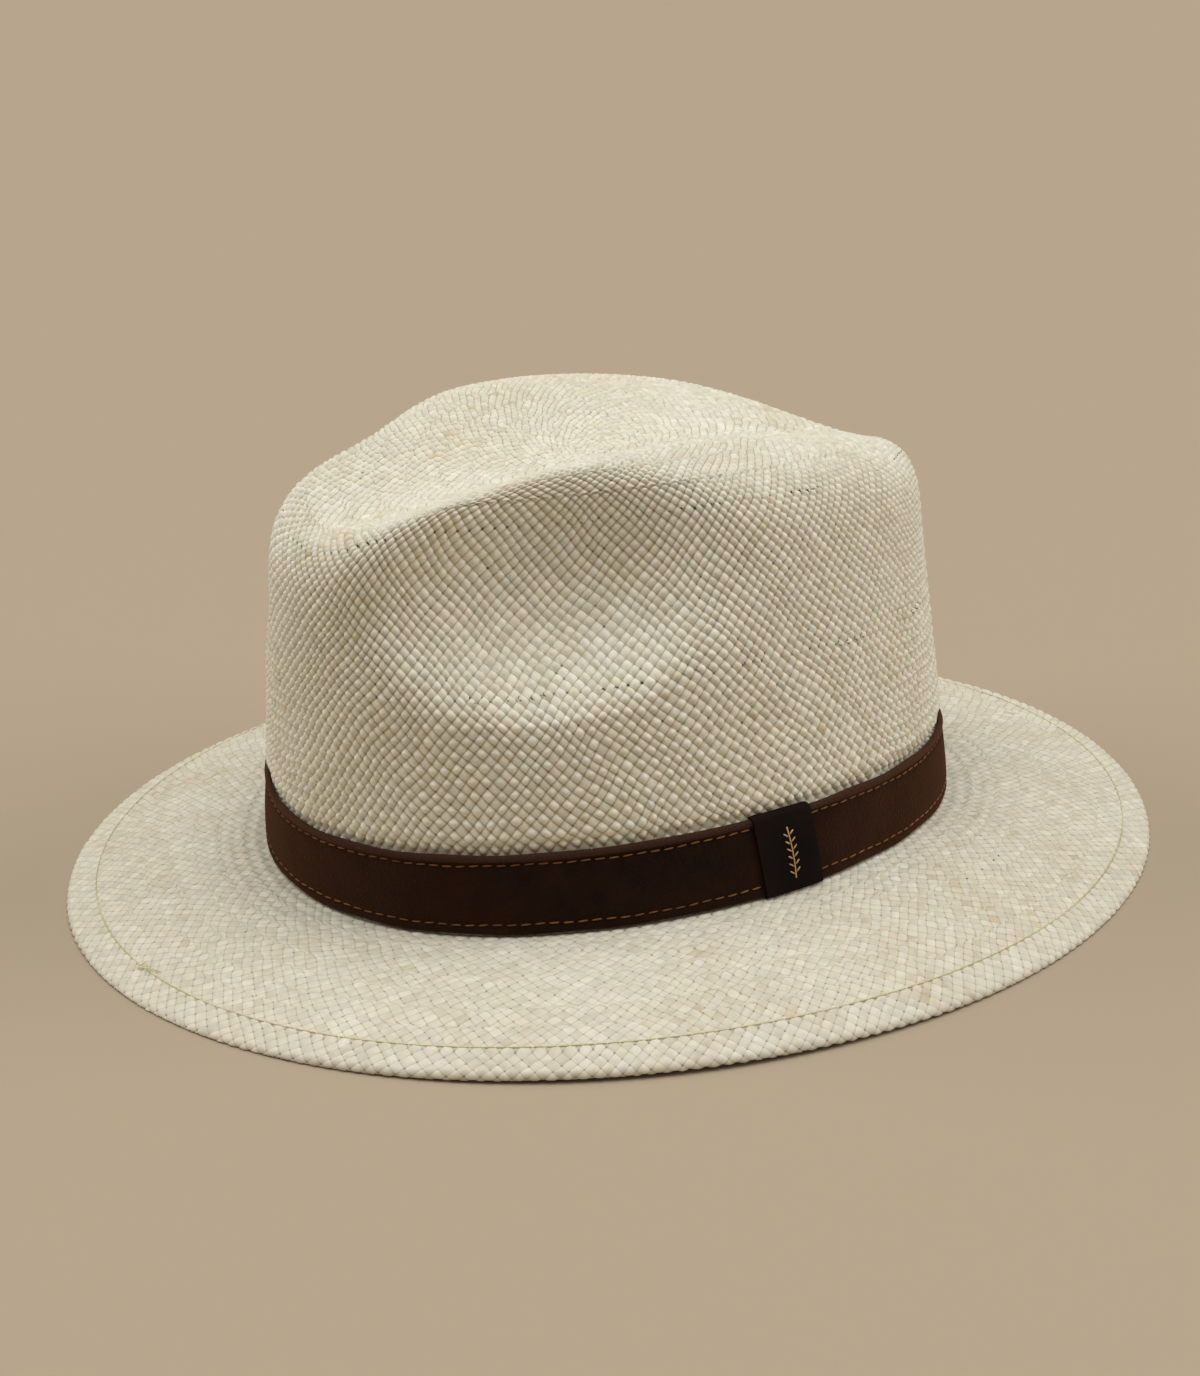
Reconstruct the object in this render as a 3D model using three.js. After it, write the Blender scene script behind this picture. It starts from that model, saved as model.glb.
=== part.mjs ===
// Panama hat: a woven straw body with a pinched teardrop crown, a suede band with a keeper,
// and a leather sweatband held on a reed inside the head opening.
// Millimetres, +Z up, -Y the front, +X the wearer's left. The origin is the centre of the brim's
// outline on the surface that the brim rests on.
import * as THREE from 'three';
import { mergeVertices } from 'three/addons/utils/BufferGeometryUtils.js';

// ---- Head opening and band line -------------------------------------------------------------
const BAND_HALF_WIDTH = 88.8;      // to the band's face, at its lower edge
const BAND_HALF_LENGTH = 104;
const BAND_LINE_Z = 15.9;          // mean height of the band's lower edge
const BAND_LINE_SADDLE = 3.2;      // the sides ride higher than the front and back
const BAND_LINE_TILT = 0.8;        // the back rides higher than the front
const CROWN_SHIFT_Y = -4.1;        // the crown stands forward on the brim

// ---- Crown form --------------------------------------------------------------------------------
const CROWN_HEIGHT = 108.5;        // band line to the top of the shoulder
const CROWN_TOP_HALF_WIDTH = 68.8;
const CROWN_TOP_HALF_LENGTH = 102.3;
const CROWN_LEAN_Y = -5.8;         // the top leans forward
const CROWN_EGG = 0.12;            // narrower at the front than at the back
const CROWN_SLOPE = -5.4;          // rise per 100 mm towards the back
const CROWN_SAG = -5.2;            // the ends lie lower than the middle
const CROWN_SHARE_LIMIT = 1.1;      // lean and slope stop growing above this share of the height
const SHOULDER_RADIUS = 18.9;
const CROWN_DOME = 16.1;
const CROWN_PLAN_RADIUS = 92;      // length of the top's meridians

const DENT = { depth: 26.5, y: -10.9, halfLength: 136.4, halfWidth: 46, widen: 0.32, power: 1.75 };
const DENT_ONSET = 0.5;            // share of the crown's height where the dent begins
const DENT_FADE = 0.3;
const PINCH = {
  depth: 26.8, angle: -40.3, push: -31.7, height: 96, halfLength: 64.8, above: 40.1, below: 42.3,
  inward: 42, power: 1.72, lean: 0.15, drop: 9.8, standOff: 4, blend: 3,
};
const RELAX_ROUNDS = 14;           // creases are eased, as straw blocked over a form is
const RELAX_START = 0.28;          // share of the meridian where the easing begins
const RELAX_FADE = 0.14;

// ---- Brim ----------------------------------------------------------------------------------------
const BRIM_HALF_WIDTH = 140.8;
const BRIM_HALF_LENGTH = 166.1;
const BRIM_EDGE_DROP = 13.9;       // from the band line to the top of the brim's edge
const BRIM_EDGE_WAVE = 0.85;       // three low places carry the hat
const BRIM_ARCH = 3;
const BRIM_BELOW_BAND = 0.9;
const BRIM_TUCK = 1.6;             // the brim runs this far in behind the band
const BRIM_SPAN = 52;              // its mean width, from the band line to the edge
const BRIM_SHARES = [-BRIM_TUCK / BRIM_SPAN, 0.1, 0.35, 0.6];

// ---- Thicknesses and layers, measured inwards from the band's face --------------------------------
const STRAW = 1.25;
const HEM_THICKNESS = 2.4;
const HEM_WIDTH = 9;
const HEM_STEP_WIDTH = 1;          // over which the brim thickens into its hem
const HEM_STITCH_IN = 8.4;
const HEM_ROUNDING = 0.8;
const BEARING_WIDTH = 2.2;         // the hem lies flat this far in where it carries the hat
const EDGE_LIFT = 0.4;
const STRAW_IN_BAND = 2;           // straw's outer face behind the band
const STRAW_ABOVE_BAND = 0.4;
const STRAW_FADE = 20;             // height below the shoulder over which that inset fades out
const FOOT_HEIGHTS = [-0.5, 8, 16];  // rows of the straw behind the band
const BAND_HEIGHT = 20.6;
const BAND_BULGE = 4;              // height over which the straw swells out above the band
const BAND = { out: 0, in: 0.9 };
const LINING = { out: 1.2, in: 1.7, low: 1, high: BAND_HEIGHT - 1 };
const TAPE = { out: 3.5, in: 3.8, low: -1.6, high: 7 };
const SWEATBAND = { out: 4.1, in: 5, low: 0.4, high: 33 };
const REED = { at: 4.95, height: -0.9, radius: 0.65 };
const THREAD_RADIUS = 0.3;
const THREAD_STAND = 0.65;         // thread centre off the face that it is sewn to
const BAND_STITCH_IN = 2.8;        // from the band's edges to its stitches
const SWEATBAND_STITCH_HEIGHT = 2.6;
const BUTT_HALF_GAP = 0.2;         // where a strip's two ends meet
const LAYER_GAP = 0.3;             // between layers that touch or are sewn together

const KEEPER_ANGLE = -5.7;
const KEEPER_WIDTH = 18;
// The keeper's section as insets from the band's face and heights: its outside and its inside.
const KEEPER_OUTSIDE = [[-0.9, -0.3], [-0.9, BAND_HEIGHT + 0.3], [-0.6, BAND_HEIGHT + 0.6],
  [1.4, BAND_HEIGHT + 0.6], [1.7, BAND_HEIGHT + 0.3], [1.7, 0], [1.3, -0.55], [-0.6, -0.55]];
const KEEPER_INSIDE = [[-0.3, -0.1], [-0.3, BAND_HEIGHT + 0.1], [-0.2, BAND_HEIGHT + 0.25],
  [1.1, BAND_HEIGHT + 0.25], [1.2, BAND_HEIGHT + 0.1], [1.2, 0], [1.1, -0.22], [-0.2, -0.22]];
const KEEPER_SIDE_GAP = 0.5;       // to the lining and stitches that stop beside it
const MOTIF = { halfWidth: 0.8, out: -1.45, in: -1.2, margin: 3.4 };

const SEAM_TAB = { halfAngle: 0.05, out: 3.5, in: 3.8, low: 8, high: 31 };
const SEAM_STITCHING = { halfAngle: 0.02, thickness: 0.4, low: 14, high: 31 };
const BOW = { halfSpan: 15, height: 8, stand: 0.4, thickness: 1.4 };
// The bow's outline from end to end: places along its half span, and half heights there.
const BOW_OUTLINE = [[-1, 2.6], [-0.75, 3.6], [-0.45, 2.8], [-0.16, 1.4], [-0.12, 2.2], [0.12, 2.2],
  [0.16, 1.4], [0.45, 2.8], [0.75, 3.6], [1, 2.6]];
const LABEL = { from: 48, to: 64, thickness: 0.3, low: 13, high: 25 };
const TACK = { halfWidth: 2.5, out: 3.5, in: 3.8, low: 12, high: 12.6 };
const TACK_ANGLES = { front: -70, left: 24, rear: 110, right: 200 };

const STEPS = 48;                  // facets round the hat
const FORM_STEPS = 144;            // finer grid on which the crown is eased
const FORM_ROWS = 72;
const CROWN_ROWS = 24;
const ROWS_IN_HEM = 3;

const radians = THREE.MathUtils.degToRad;
const clamp = THREE.MathUtils.clamp;

// ---- The form ----------------------------------------------------------------------------------
function bandLine(angle) {
  return BAND_LINE_SADDLE * Math.cos(2 * angle) + BAND_LINE_TILT * Math.sin(angle);
}

const wallLength = CROWN_HEIGHT - SHOULDER_RADIUS;
const shoulderLength = SHOULDER_RADIUS * Math.PI / 2;
const topLength = CROWN_PLAN_RADIUS - SHOULDER_RADIUS;
const meridian = wallLength + shoulderLength + topLength;

// A point of the plain crown, before its dent and pinches. Distance runs up the meridian.
function plainCrown(angle, distance) {
  const wall = clamp(distance / wallLength, 0, 1);
  const turn = clamp((distance - wallLength) / shoulderLength, 0, 1) * Math.PI / 2;
  const reach = 1 - clamp((distance - wallLength - shoulderLength) / topLength, 0, 1);
  const inset = SHOULDER_RADIUS * (1 - Math.cos(turn));
  const halfWidth = THREE.MathUtils.lerp(BAND_HALF_WIDTH, CROWN_TOP_HALF_WIDTH, wall);
  const halfLength = THREE.MathUtils.lerp(BAND_HALF_LENGTH, CROWN_TOP_HALF_LENGTH, wall);
  const y = (halfLength - inset) * reach * Math.sin(angle) + CROWN_LEAN_Y * wall;
  const x = (halfWidth - inset) * reach * Math.cos(angle) * (1 + CROWN_EGG * wall * y / 100);
  const rise = wall * wallLength + SHOULDER_RADIUS * Math.sin(turn) + CROWN_DOME * (1 - reach ** 2);
  const share = Math.min(rise / CROWN_HEIGHT, CROWN_SHARE_LIMIT);
  const slope = CROWN_SLOPE * y / 100 + CROWN_SAG * ((y / 100) ** 2 - 0.5);
  const z = bandLine(angle) * Math.max(1 - share, 0) + rise + share * slope;
  return { x, y, z, share };
}

function topDent(point) {
  const v = (point.y - DENT.y) / DENT.halfLength;
  const width = DENT.halfWidth * (1 + DENT.widen * v);
  const q = Math.min((point.x / width) ** 2 + v ** 2, 1);
  return DENT.depth * (1 - q) ** DENT.power * clamp((point.share - DENT_ONSET) / DENT_FADE, 0, 1);
}

// Both front pinches, mirrored left to right, each pushed in along its own level direction.
function pinched(point) {
  const angle = radians(PINCH.angle);
  const push = radians(PINCH.push);
  const out = new THREE.Vector2(Math.cos(push), Math.sin(push));
  const along = new THREE.Vector2(-out.y, out.x);
  const centreX = (BAND_HALF_WIDTH - PINCH.standOff) * Math.cos(angle);
  const centreY = (BAND_HALF_LENGTH - PINCH.standOff) * Math.sin(angle);
  const offset = new THREE.Vector2(Math.abs(point.x) - centreX, point.y - centreY);
  const side = offset.dot(along);
  const depth = Math.min(offset.dot(out), 0);
  const height = point.z - PINCH.height - PINCH.lean * side;
  const reach = height > 0 ? PINCH.above : PINCH.below;
  const q = (side / PINCH.halfLength) ** 2 + (height / reach) ** 2 + (depth / PINCH.inward) ** 2;
  const amount = Math.max(1 - q, 0) ** PINCH.power;
  const sideSign = point.x / Math.hypot(point.x, PINCH.blend);
  return new THREE.Vector3(
    point.x - sideSign * out.x * amount * PINCH.depth,
    point.y - out.y * amount * PINCH.depth,
    point.z - amount * PINCH.drop,
  );
}

// The whole crown form as rows of points, eased above the band.
function easedForm() {
  let grid = Array.from({ length: FORM_ROWS + 1 }, (_, row) =>
    Array.from({ length: FORM_STEPS }, (_, step) => {
      const point = plainCrown(step / FORM_STEPS * 2 * Math.PI, row / FORM_ROWS * meridian);
      point.z -= topDent(point);
      return pinched(point);
    }));
  for (let round = 0; round < RELAX_ROUNDS; round += 1) {
    const before = grid;
    grid = before.map((points, row) => {
      if (row === 0 || row === FORM_ROWS) return points;
      const weight = clamp((row / FORM_ROWS - RELAX_START) / RELAX_FADE, 0, 1) / 2;
      return points.map((point, step) => {
        const mean = new THREE.Vector3()
          .add(points[(step + 1) % FORM_STEPS])
          .add(points[(step + FORM_STEPS - 1) % FORM_STEPS])
          .add(before[row + 1][step])
          .add(before[row - 1][step])
          .divideScalar(4);
        return point.clone().lerp(mean, weight);
      });
    });
    const tip = grid[FORM_ROWS - 1]
      .reduce((sum, point) => sum.add(point), new THREE.Vector3())
      .divideScalar(FORM_STEPS);
    grid[FORM_ROWS] = grid[FORM_ROWS].map(() => tip);
  }
  return grid;
}
const form = easedForm();

// A point at a place in the hat's layers: height above the band line, inset from the band's face.
function smoothLayerPoint(angle, height, inset) {
  const point = plainCrown(angle, Math.max(height, 0));
  const normal = new THREE.Vector2(Math.cos(angle) / BAND_HALF_WIDTH, Math.sin(angle) / BAND_HALF_LENGTH)
    .normalize();
  return new THREE.Vector3(
    point.x - inset * normal.x,
    point.y - inset * normal.y + CROWN_SHIFT_Y,
    point.z + Math.min(height, 0) + BAND_LINE_Z,
  );
}

// The same on the hat's facets, so that short pieces stay parallel to the rings beside them.
function layerPoint(angle, height, inset) {
  const facet = 2 * Math.PI / STEPS;
  const low = Math.floor(angle / facet + 1e-6);
  const from = smoothLayerPoint(low * facet, height, inset);
  return from.lerp(smoothLayerPoint((low + 1) * facet, height, inset), angle / facet - low);
}

// The straw's outer face on the crown, pressed in where the band holds it.
function crownPoint(step, share) {
  const row = share * FORM_ROWS;
  const low = Math.min(Math.floor(row), FORM_ROWS - 1);
  const column = step * FORM_STEPS / STEPS;
  const point = form[low][column].clone().lerp(form[low + 1][column], row - low);
  const height = share * meridian;
  const swell = THREE.MathUtils.smoothstep(height, BAND_HEIGHT, BAND_HEIGHT + BAND_BULGE);
  const fade = 1 - THREE.MathUtils.smoothstep(height, wallLength - STRAW_FADE, wallLength);
  const inset = THREE.MathUtils.lerp(STRAW_IN_BAND, STRAW_ABOVE_BAND * fade, swell);
  const angle = step / STEPS * 2 * Math.PI;
  const normal = new THREE.Vector2(Math.cos(angle) / BAND_HALF_WIDTH, Math.sin(angle) / BAND_HALF_LENGTH)
    .normalize();
  return point.add(new THREE.Vector3(-inset * normal.x, CROWN_SHIFT_Y - inset * normal.y, BAND_LINE_Z));
}

// The brim's upper face. Share runs from the band line, 0, to the edge, 1.
function brimPoint(angle, share) {
  const edge = -BRIM_EDGE_DROP - BRIM_EDGE_WAVE * Math.sin(3 * angle);
  const base = bandLine(angle) - BRIM_BELOW_BAND;
  const x = THREE.MathUtils.lerp(BAND_HALF_WIDTH, BRIM_HALF_WIDTH, share) * Math.cos(angle);
  const y = THREE.MathUtils.lerp(BAND_HALF_LENGTH, BRIM_HALF_LENGTH, share) * Math.sin(angle);
  const z = THREE.MathUtils.lerp(base, edge, share) + BRIM_ARCH * 4 * share * (1 - share);
  return new THREE.Vector3(x, y + CROWN_SHIFT_Y * (1 - share), z + BAND_LINE_Z);
}

function brimWidth(angle) {
  return brimPoint(angle, 1).distanceTo(brimPoint(angle, 0));
}

// ---- Solids --------------------------------------------------------------------------------------
// Joins sections, each a closed outline of points, into one closed body. Sections that don't
// close on themselves get flat ends.
function sweep(sections, closed) {
  const count = sections[0].length;
  const positions = sections.flat().flatMap((point) => point.toArray());
  const indices = [];
  const last = closed ? sections.length : sections.length - 1;
  for (let i = 0; i < last; i += 1) {
    const next = (i + 1) % sections.length;
    for (let j = 0; j < count; j += 1) {
      const k = (j + 1) % count;
      indices.push(i * count + j, next * count + j, next * count + k);
      indices.push(i * count + j, next * count + k, i * count + k);
    }
  }
  if (!closed) {
    const end = (sections.length - 1) * count;
    for (const [a, b, c] of endFaces(sections[0])) indices.push(a, b, c);
    for (const [a, b, c] of endFaces(sections.at(-1))) indices.push(end + a, end + c, end + b);
  }
  return closedGeometry(positions, indices);
}

// Triangles over an outline whose points pair up across its thickness, as a strip's do.
function endFaces(outline) {
  const half = outline.length / 2;
  const faces = [];
  for (let i = 0; i < half - 1; i += 1) {
    const across = outline.length - 1 - i;
    faces.push([i, i + 1, across], [i + 1, across - 1, across]);
  }
  return faces;
}

// Merges equal points, drops the faces that this closes up, and turns the body outwards.
function closedGeometry(positions, indices) {
  const raw = new THREE.BufferGeometry();
  raw.setAttribute('position', new THREE.Float32BufferAttribute(positions, 3));
  raw.setIndex(indices);
  const merged = mergeVertices(raw, 1e-4);
  const kept = [];
  const index = merged.index.array;
  let volume = 0;
  const corner = [new THREE.Vector3(), new THREE.Vector3(), new THREE.Vector3()];
  for (let i = 0; i < index.length; i += 3) {
    const [a, b, c] = index.slice(i, i + 3);
    if (a === b || b === c || c === a) continue;
    kept.push([a, b, c]);
    [a, b, c].forEach((id, n) => corner[n].fromBufferAttribute(merged.attributes.position, id));
    volume += corner[0].dot(corner[1].clone().cross(corner[2]));
  }
  merged.setIndex(kept.flatMap(([a, b, c]) => (volume > 0 ? [a, b, c] : [a, c, b])));
  merged.computeVertexNormals();
  return merged;
}

function fullTurn() {
  return Array.from({ length: STEPS }, (_, step) => step / STEPS * 2 * Math.PI);
}

// Angles from one place to another, the long way or the short, with the full turn's own steps
// between them, so that the facets of neighbouring layers stay parallel.
function arc(from, to) {
  const facet = 2 * Math.PI / STEPS;
  const angles = [from];
  for (let n = Math.floor(from / facet) + 1; n * facet < to; n += 1) {
    const angle = n * facet;
    if (angle - from > facet / 50 && to - angle > facet / 50) angles.push(angle);
  }
  angles.push(to);
  return angles;
}

// A flat strip between two insets and two heights.
function strip(angles, closed, { out, in: inner, low, high }) {
  const outline = [[out, low], [out, high], [inner, high], [inner, low]];
  const sections = angles.map((angle) =>
    outline.map(([inset, height]) => layerPoint(angle, height, inset)));
  return sweep(sections, closed);
}

// A thread or reed of square section, on edge, at one place in the layers.
function strand(angles, closed, inset, height, radius) {
  const outline = [[inset - radius, height], [inset, height + radius], [inset + radius, height],
    [inset, height - radius]];
  const sections = angles.map((angle) => outline.map(([at, up]) => layerPoint(angle, up, at)));
  return sweep(sections, closed);
}

// ---- Woven body ------------------------------------------------------------------------------------
function strawBody() {
  const heights = [...FOOT_HEIGHTS, BAND_HEIGHT, BAND_HEIGHT + BAND_BULGE / 2, BAND_HEIGHT + BAND_BULGE];
  const firstFree = (BAND_HEIGHT + BAND_BULGE) / meridian;
  const crownShares = Array.from({ length: CROWN_ROWS }, (_, row) =>
    THREE.MathUtils.lerp(firstFree, 1, (row + 1) / CROWN_ROWS));
  const sections = fullTurn().map((angle, step) => {
    const hem = 1 - HEM_WIDTH / brimWidth(angle);
    const hemStep = 1 - (HEM_WIDTH - HEM_STEP_WIDTH) / brimWidth(angle);
    const bearing = 1 - BEARING_WIDTH / brimWidth(angle);
    const rounded = 1 - HEM_ROUNDING / brimWidth(angle);
    const crown = [
      ...crownShares.toReversed().map((share) => crownPoint(step, share)),
      ...heights.slice(1).toReversed().map((height) => crownPoint(step, height / meridian)),
      layerPoint(angle, heights[0], STRAW_IN_BAND),
    ];
    const brim = [...BRIM_SHARES, hem, hemStep, bearing, rounded].map((share) => brimPoint(angle, share));
    return { top: [...crown, ...brim], edge: brimPoint(angle, 1) };
  });
  const outlines = sections.map((section, step) => {
    const before = sections[(step + STEPS - 1) % STEPS].top;
    const after = sections[(step + 1) % STEPS].top;
    const lower = section.top.map((point, row) => {
      const tip = row === 0;
      const inner = section.top[Math.max(row - 1, 0)];
      const outer = section.top[row + 1] ?? section.edge;
      const across = after[row].clone().sub(before[row]);
      const normal = tip ? new THREE.Vector3(0, 0, 1) : across.cross(inner.clone().sub(outer)).normalize();
      const inHem = row >= section.top.length - ROWS_IN_HEM;
      const lowered = point.clone().addScaledVector(normal, -(inHem ? HEM_THICKNESS : STRAW));
      lowered.z = Math.max(lowered.z, 0);
      return lowered;
    });
    const edge = section.edge.clone();
    edge.z = Math.max(edge.z - HEM_THICKNESS / 2, EDGE_LIFT);
    return [...section.top, edge, ...lower.toReversed()];
  });
  return sweep(outlines, true);
}

function hemThread() {
  const sections = fullTurn().map((angle) => {
    const share = 1 - HEM_STITCH_IN / brimWidth(angle);
    const centre = brimPoint(angle, share);
    centre.z += THREAD_STAND;
    const outward = new THREE.Vector3(Math.cos(angle), Math.sin(angle), 0);
    const up = new THREE.Vector3(0, 0, 1);
    return [[1, 0], [0, 1], [-1, 0], [0, -1]].map(([a, b]) =>
      centre.clone().addScaledVector(outward, a * THREAD_RADIUS).addScaledVector(up, b * THREAD_RADIUS));
  });
  return sweep(sections, true);
}

// ---- Band and keeper -----------------------------------------------------------------------------
const keeperMiddle = radians(KEEPER_ANGLE);
const keeperHalf = KEEPER_WIDTH / 2 / BAND_HALF_LENGTH;
const keeperGap = KEEPER_SIDE_GAP / BAND_HALF_LENGTH;

// Round the hat from one side of the keeper to the other.
function roundFromKeeper(clearance) {
  return arc(keeperMiddle + clearance, keeperMiddle + 2 * Math.PI - clearance);
}

function outerBand() {
  const butt = BUTT_HALF_GAP / BAND_HALF_LENGTH;
  return strip(roundFromKeeper(butt), false, { ...BAND, low: 0, high: BAND_HEIGHT });
}

function bandLining() {
  return strip(roundFromKeeper(keeperHalf + keeperGap), false, LINING);
}

function bandStitching(height) {
  return strand(roundFromKeeper(keeperHalf + keeperGap), false, -THREAD_STAND, height, THREAD_RADIUS);
}

// A ribbon that goes right round the band, in front, over, behind and under.
function keeperLoop() {
  const angles = arc(keeperMiddle - keeperHalf, keeperMiddle + keeperHalf);
  const sections = KEEPER_OUTSIDE.map(([outInset, outHeight], corner) => {
    const [inInset, inHeight] = KEEPER_INSIDE[corner];
    const outer = angles.map((angle) => layerPoint(angle, outHeight, outInset));
    const inner = angles.toReversed().map((angle) => layerPoint(angle, inHeight, inInset));
    return [...outer, ...inner];
  });
  return sweep(sections, true);
}

function keeperMotif() {
  const half = MOTIF.halfWidth / BAND_HALF_LENGTH;
  const angles = [keeperMiddle - half, keeperMiddle + half];
  return strip(angles, false, { ...MOTIF, low: MOTIF.margin, high: BAND_HEIGHT - MOTIF.margin });
}

// ---- Inside the head opening -----------------------------------------------------------------------
const rear = Math.PI / 2;

function sweatband() {
  const butt = BUTT_HALF_GAP / BAND_HALF_WIDTH;
  return strip(arc(rear + butt, rear + 2 * Math.PI - butt), false, SWEATBAND);
}

function sweatbandReed() {
  return strand(fullTurn(), true, REED.at, REED.height, REED.radius);
}

function reedTape() {
  return strip(fullTurn(), true, TAPE);
}

function sweatbandStitching() {
  return strand(fullTurn(), true, SWEATBAND.in + THREAD_STAND, SWEATBAND_STITCH_HEIGHT, THREAD_RADIUS);
}

function seamTab() {
  return strip([rear - SEAM_TAB.halfAngle, rear + SEAM_TAB.halfAngle], false, SEAM_TAB);
}

function seamStitching() {
  const { halfAngle, thickness, low, high } = SEAM_STITCHING;
  const out = SWEATBAND.in + LAYER_GAP;
  return strip([rear - halfAngle, rear + halfAngle], false, { out, in: out + thickness, low, high });
}

function rearBow() {
  const sections = BOW_OUTLINE.map(([share, halfHeight]) => {
    const angle = rear + share * BOW.halfSpan / BAND_HALF_WIDTH;
    const low = BOW.height - halfHeight;
    const high = BOW.height + halfHeight;
    const out = SWEATBAND.in + BOW.stand;
    const inner = out + BOW.thickness;
    return [[out, low], [out, high], [inner, high], [inner, low]].map(([inset, height]) =>
      layerPoint(angle, height, inset));
  });
  return sweep(sections, false);
}

function sizeLabel() {
  const { from, to, thickness, low, high } = LABEL;
  const out = SWEATBAND.in + LAYER_GAP;
  return strip(arc(radians(from), radians(to)), false, { out, in: out + thickness, low, high });
}

function bandTack(degrees) {
  const middle = radians(degrees);
  const half = TACK.halfWidth / BAND_HALF_LENGTH;
  return strip([middle - half, middle + half], false, TACK);
}

// ---- Finishes and assembly -------------------------------------------------------------------------
const finishes = {
  straw: { color: 0xe6dfcc, roughness: 0.75, metalness: 0 },
  hemThread: { color: 0xc4b98f, roughness: 0.7, metalness: 0 },
  suede: { color: 0x2c1a12, roughness: 0.95, metalness: 0 },
  lining: { color: 0x3b2b22, roughness: 0.9, metalness: 0 },
  bandThread: { color: 0x96602c, roughness: 0.6, metalness: 0 },
  ribbon: { color: 0x1c100c, roughness: 0.7, metalness: 0 },
  gold: { color: 0xb08d3c, roughness: 0.4, metalness: 0.6 },
  leather: { color: 0x8a5a34, roughness: 0.55, metalness: 0 },
  reed: { color: 0xd8d2c4, roughness: 0.5, metalness: 0 },
  tape: { color: 0x5a4636, roughness: 0.9, metalness: 0 },
  label: { color: 0xefe9dc, roughness: 0.85, metalness: 0 },
};

const hat = new THREE.Group();

function add(name, geometry, finish) {
  const mesh = new THREE.Mesh(geometry, new THREE.MeshStandardMaterial(finishes[finish]));
  mesh.name = name;
  hat.add(mesh);
}

add('straw_body', strawBody(), 'straw');
add('hem_thread', hemThread(), 'hemThread');
add('outer_band', outerBand(), 'suede');
add('band_lining', bandLining(), 'lining');
add('band_stitching_lower', bandStitching(BAND_STITCH_IN), 'bandThread');
add('band_stitching_upper', bandStitching(BAND_HEIGHT - BAND_STITCH_IN), 'bandThread');
add('keeper_loop', keeperLoop(), 'ribbon');
add('keeper_motif', keeperMotif(), 'gold');
add('sweatband', sweatband(), 'leather');
add('sweatband_reed', sweatbandReed(), 'reed');
add('reed_tape', reedTape(), 'tape');
add('sweatband_stitching', sweatbandStitching(), 'bandThread');
add('sweatband_seam_tab', seamTab(), 'tape');
add('sweatband_seam_stitching', seamStitching(), 'bandThread');
add('rear_bow', rearBow(), 'ribbon');
add('size_label', sizeLabel(), 'label');
for (const [place, degrees] of Object.entries(TACK_ANGLES)) {
  add(`band_tack_${place}`, bandTack(degrees), 'hemThread');
}

export default hat;
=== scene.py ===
"""Panama hat: the finished look of the woven straw hat, its suede band, keeper and sweatband.

Sizes in the classes are millimetres, as a hatter would give them, and meshes are made in metres.
Row frame: +Z up, -Y the front of the hat, +X the wearer's left, z = 0 the surface it rests on.
"""
import logging
import math
from dataclasses import dataclass, field, replace
from enum import Enum
from typing import Callable

import bpy
import numpy as np
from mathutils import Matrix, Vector


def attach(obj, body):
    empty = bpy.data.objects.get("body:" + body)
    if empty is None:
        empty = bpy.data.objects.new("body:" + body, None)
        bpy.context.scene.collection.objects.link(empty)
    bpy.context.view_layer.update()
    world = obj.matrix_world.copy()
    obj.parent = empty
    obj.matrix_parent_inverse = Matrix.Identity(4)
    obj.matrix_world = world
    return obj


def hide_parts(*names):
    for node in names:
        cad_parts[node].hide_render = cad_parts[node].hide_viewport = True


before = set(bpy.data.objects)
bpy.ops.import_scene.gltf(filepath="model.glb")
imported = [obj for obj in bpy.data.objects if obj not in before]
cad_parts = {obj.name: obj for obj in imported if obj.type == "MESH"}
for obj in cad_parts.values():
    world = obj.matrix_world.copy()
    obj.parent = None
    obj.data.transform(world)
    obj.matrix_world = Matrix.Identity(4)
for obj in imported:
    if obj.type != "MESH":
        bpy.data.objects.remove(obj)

MM = 0.001
FULL_TURN = 2 * math.pi
REAR = math.pi / 2
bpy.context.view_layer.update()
log = logging.getLogger("panama_hat")

Array = np.ndarray
Piece = bpy.types.Object
Number = float | Array
Surface = Callable[[Array, Array], Array]


# ---- Small helpers ---------------------------------------------------------------------------

def mix(low: Number, high: Number, share: Number) -> Number:
    """A value between low and high."""
    return low + (high - low) * share


def smooth_step(value: Array, low: float, high: float) -> Array:
    """0 below low, 1 above high, and an eased rise between them."""
    share = np.clip((value - low) / (high - low), 0, 1)
    return share * share * (3 - 2 * share)


def unit(vectors: Array) -> Array:
    """The same directions with a length of one."""
    return vectors / np.maximum(np.linalg.norm(vectors, axis=-1, keepdims=True), 1e-9)


# ---- The hat's form --------------------------------------------------------------------------

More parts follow.
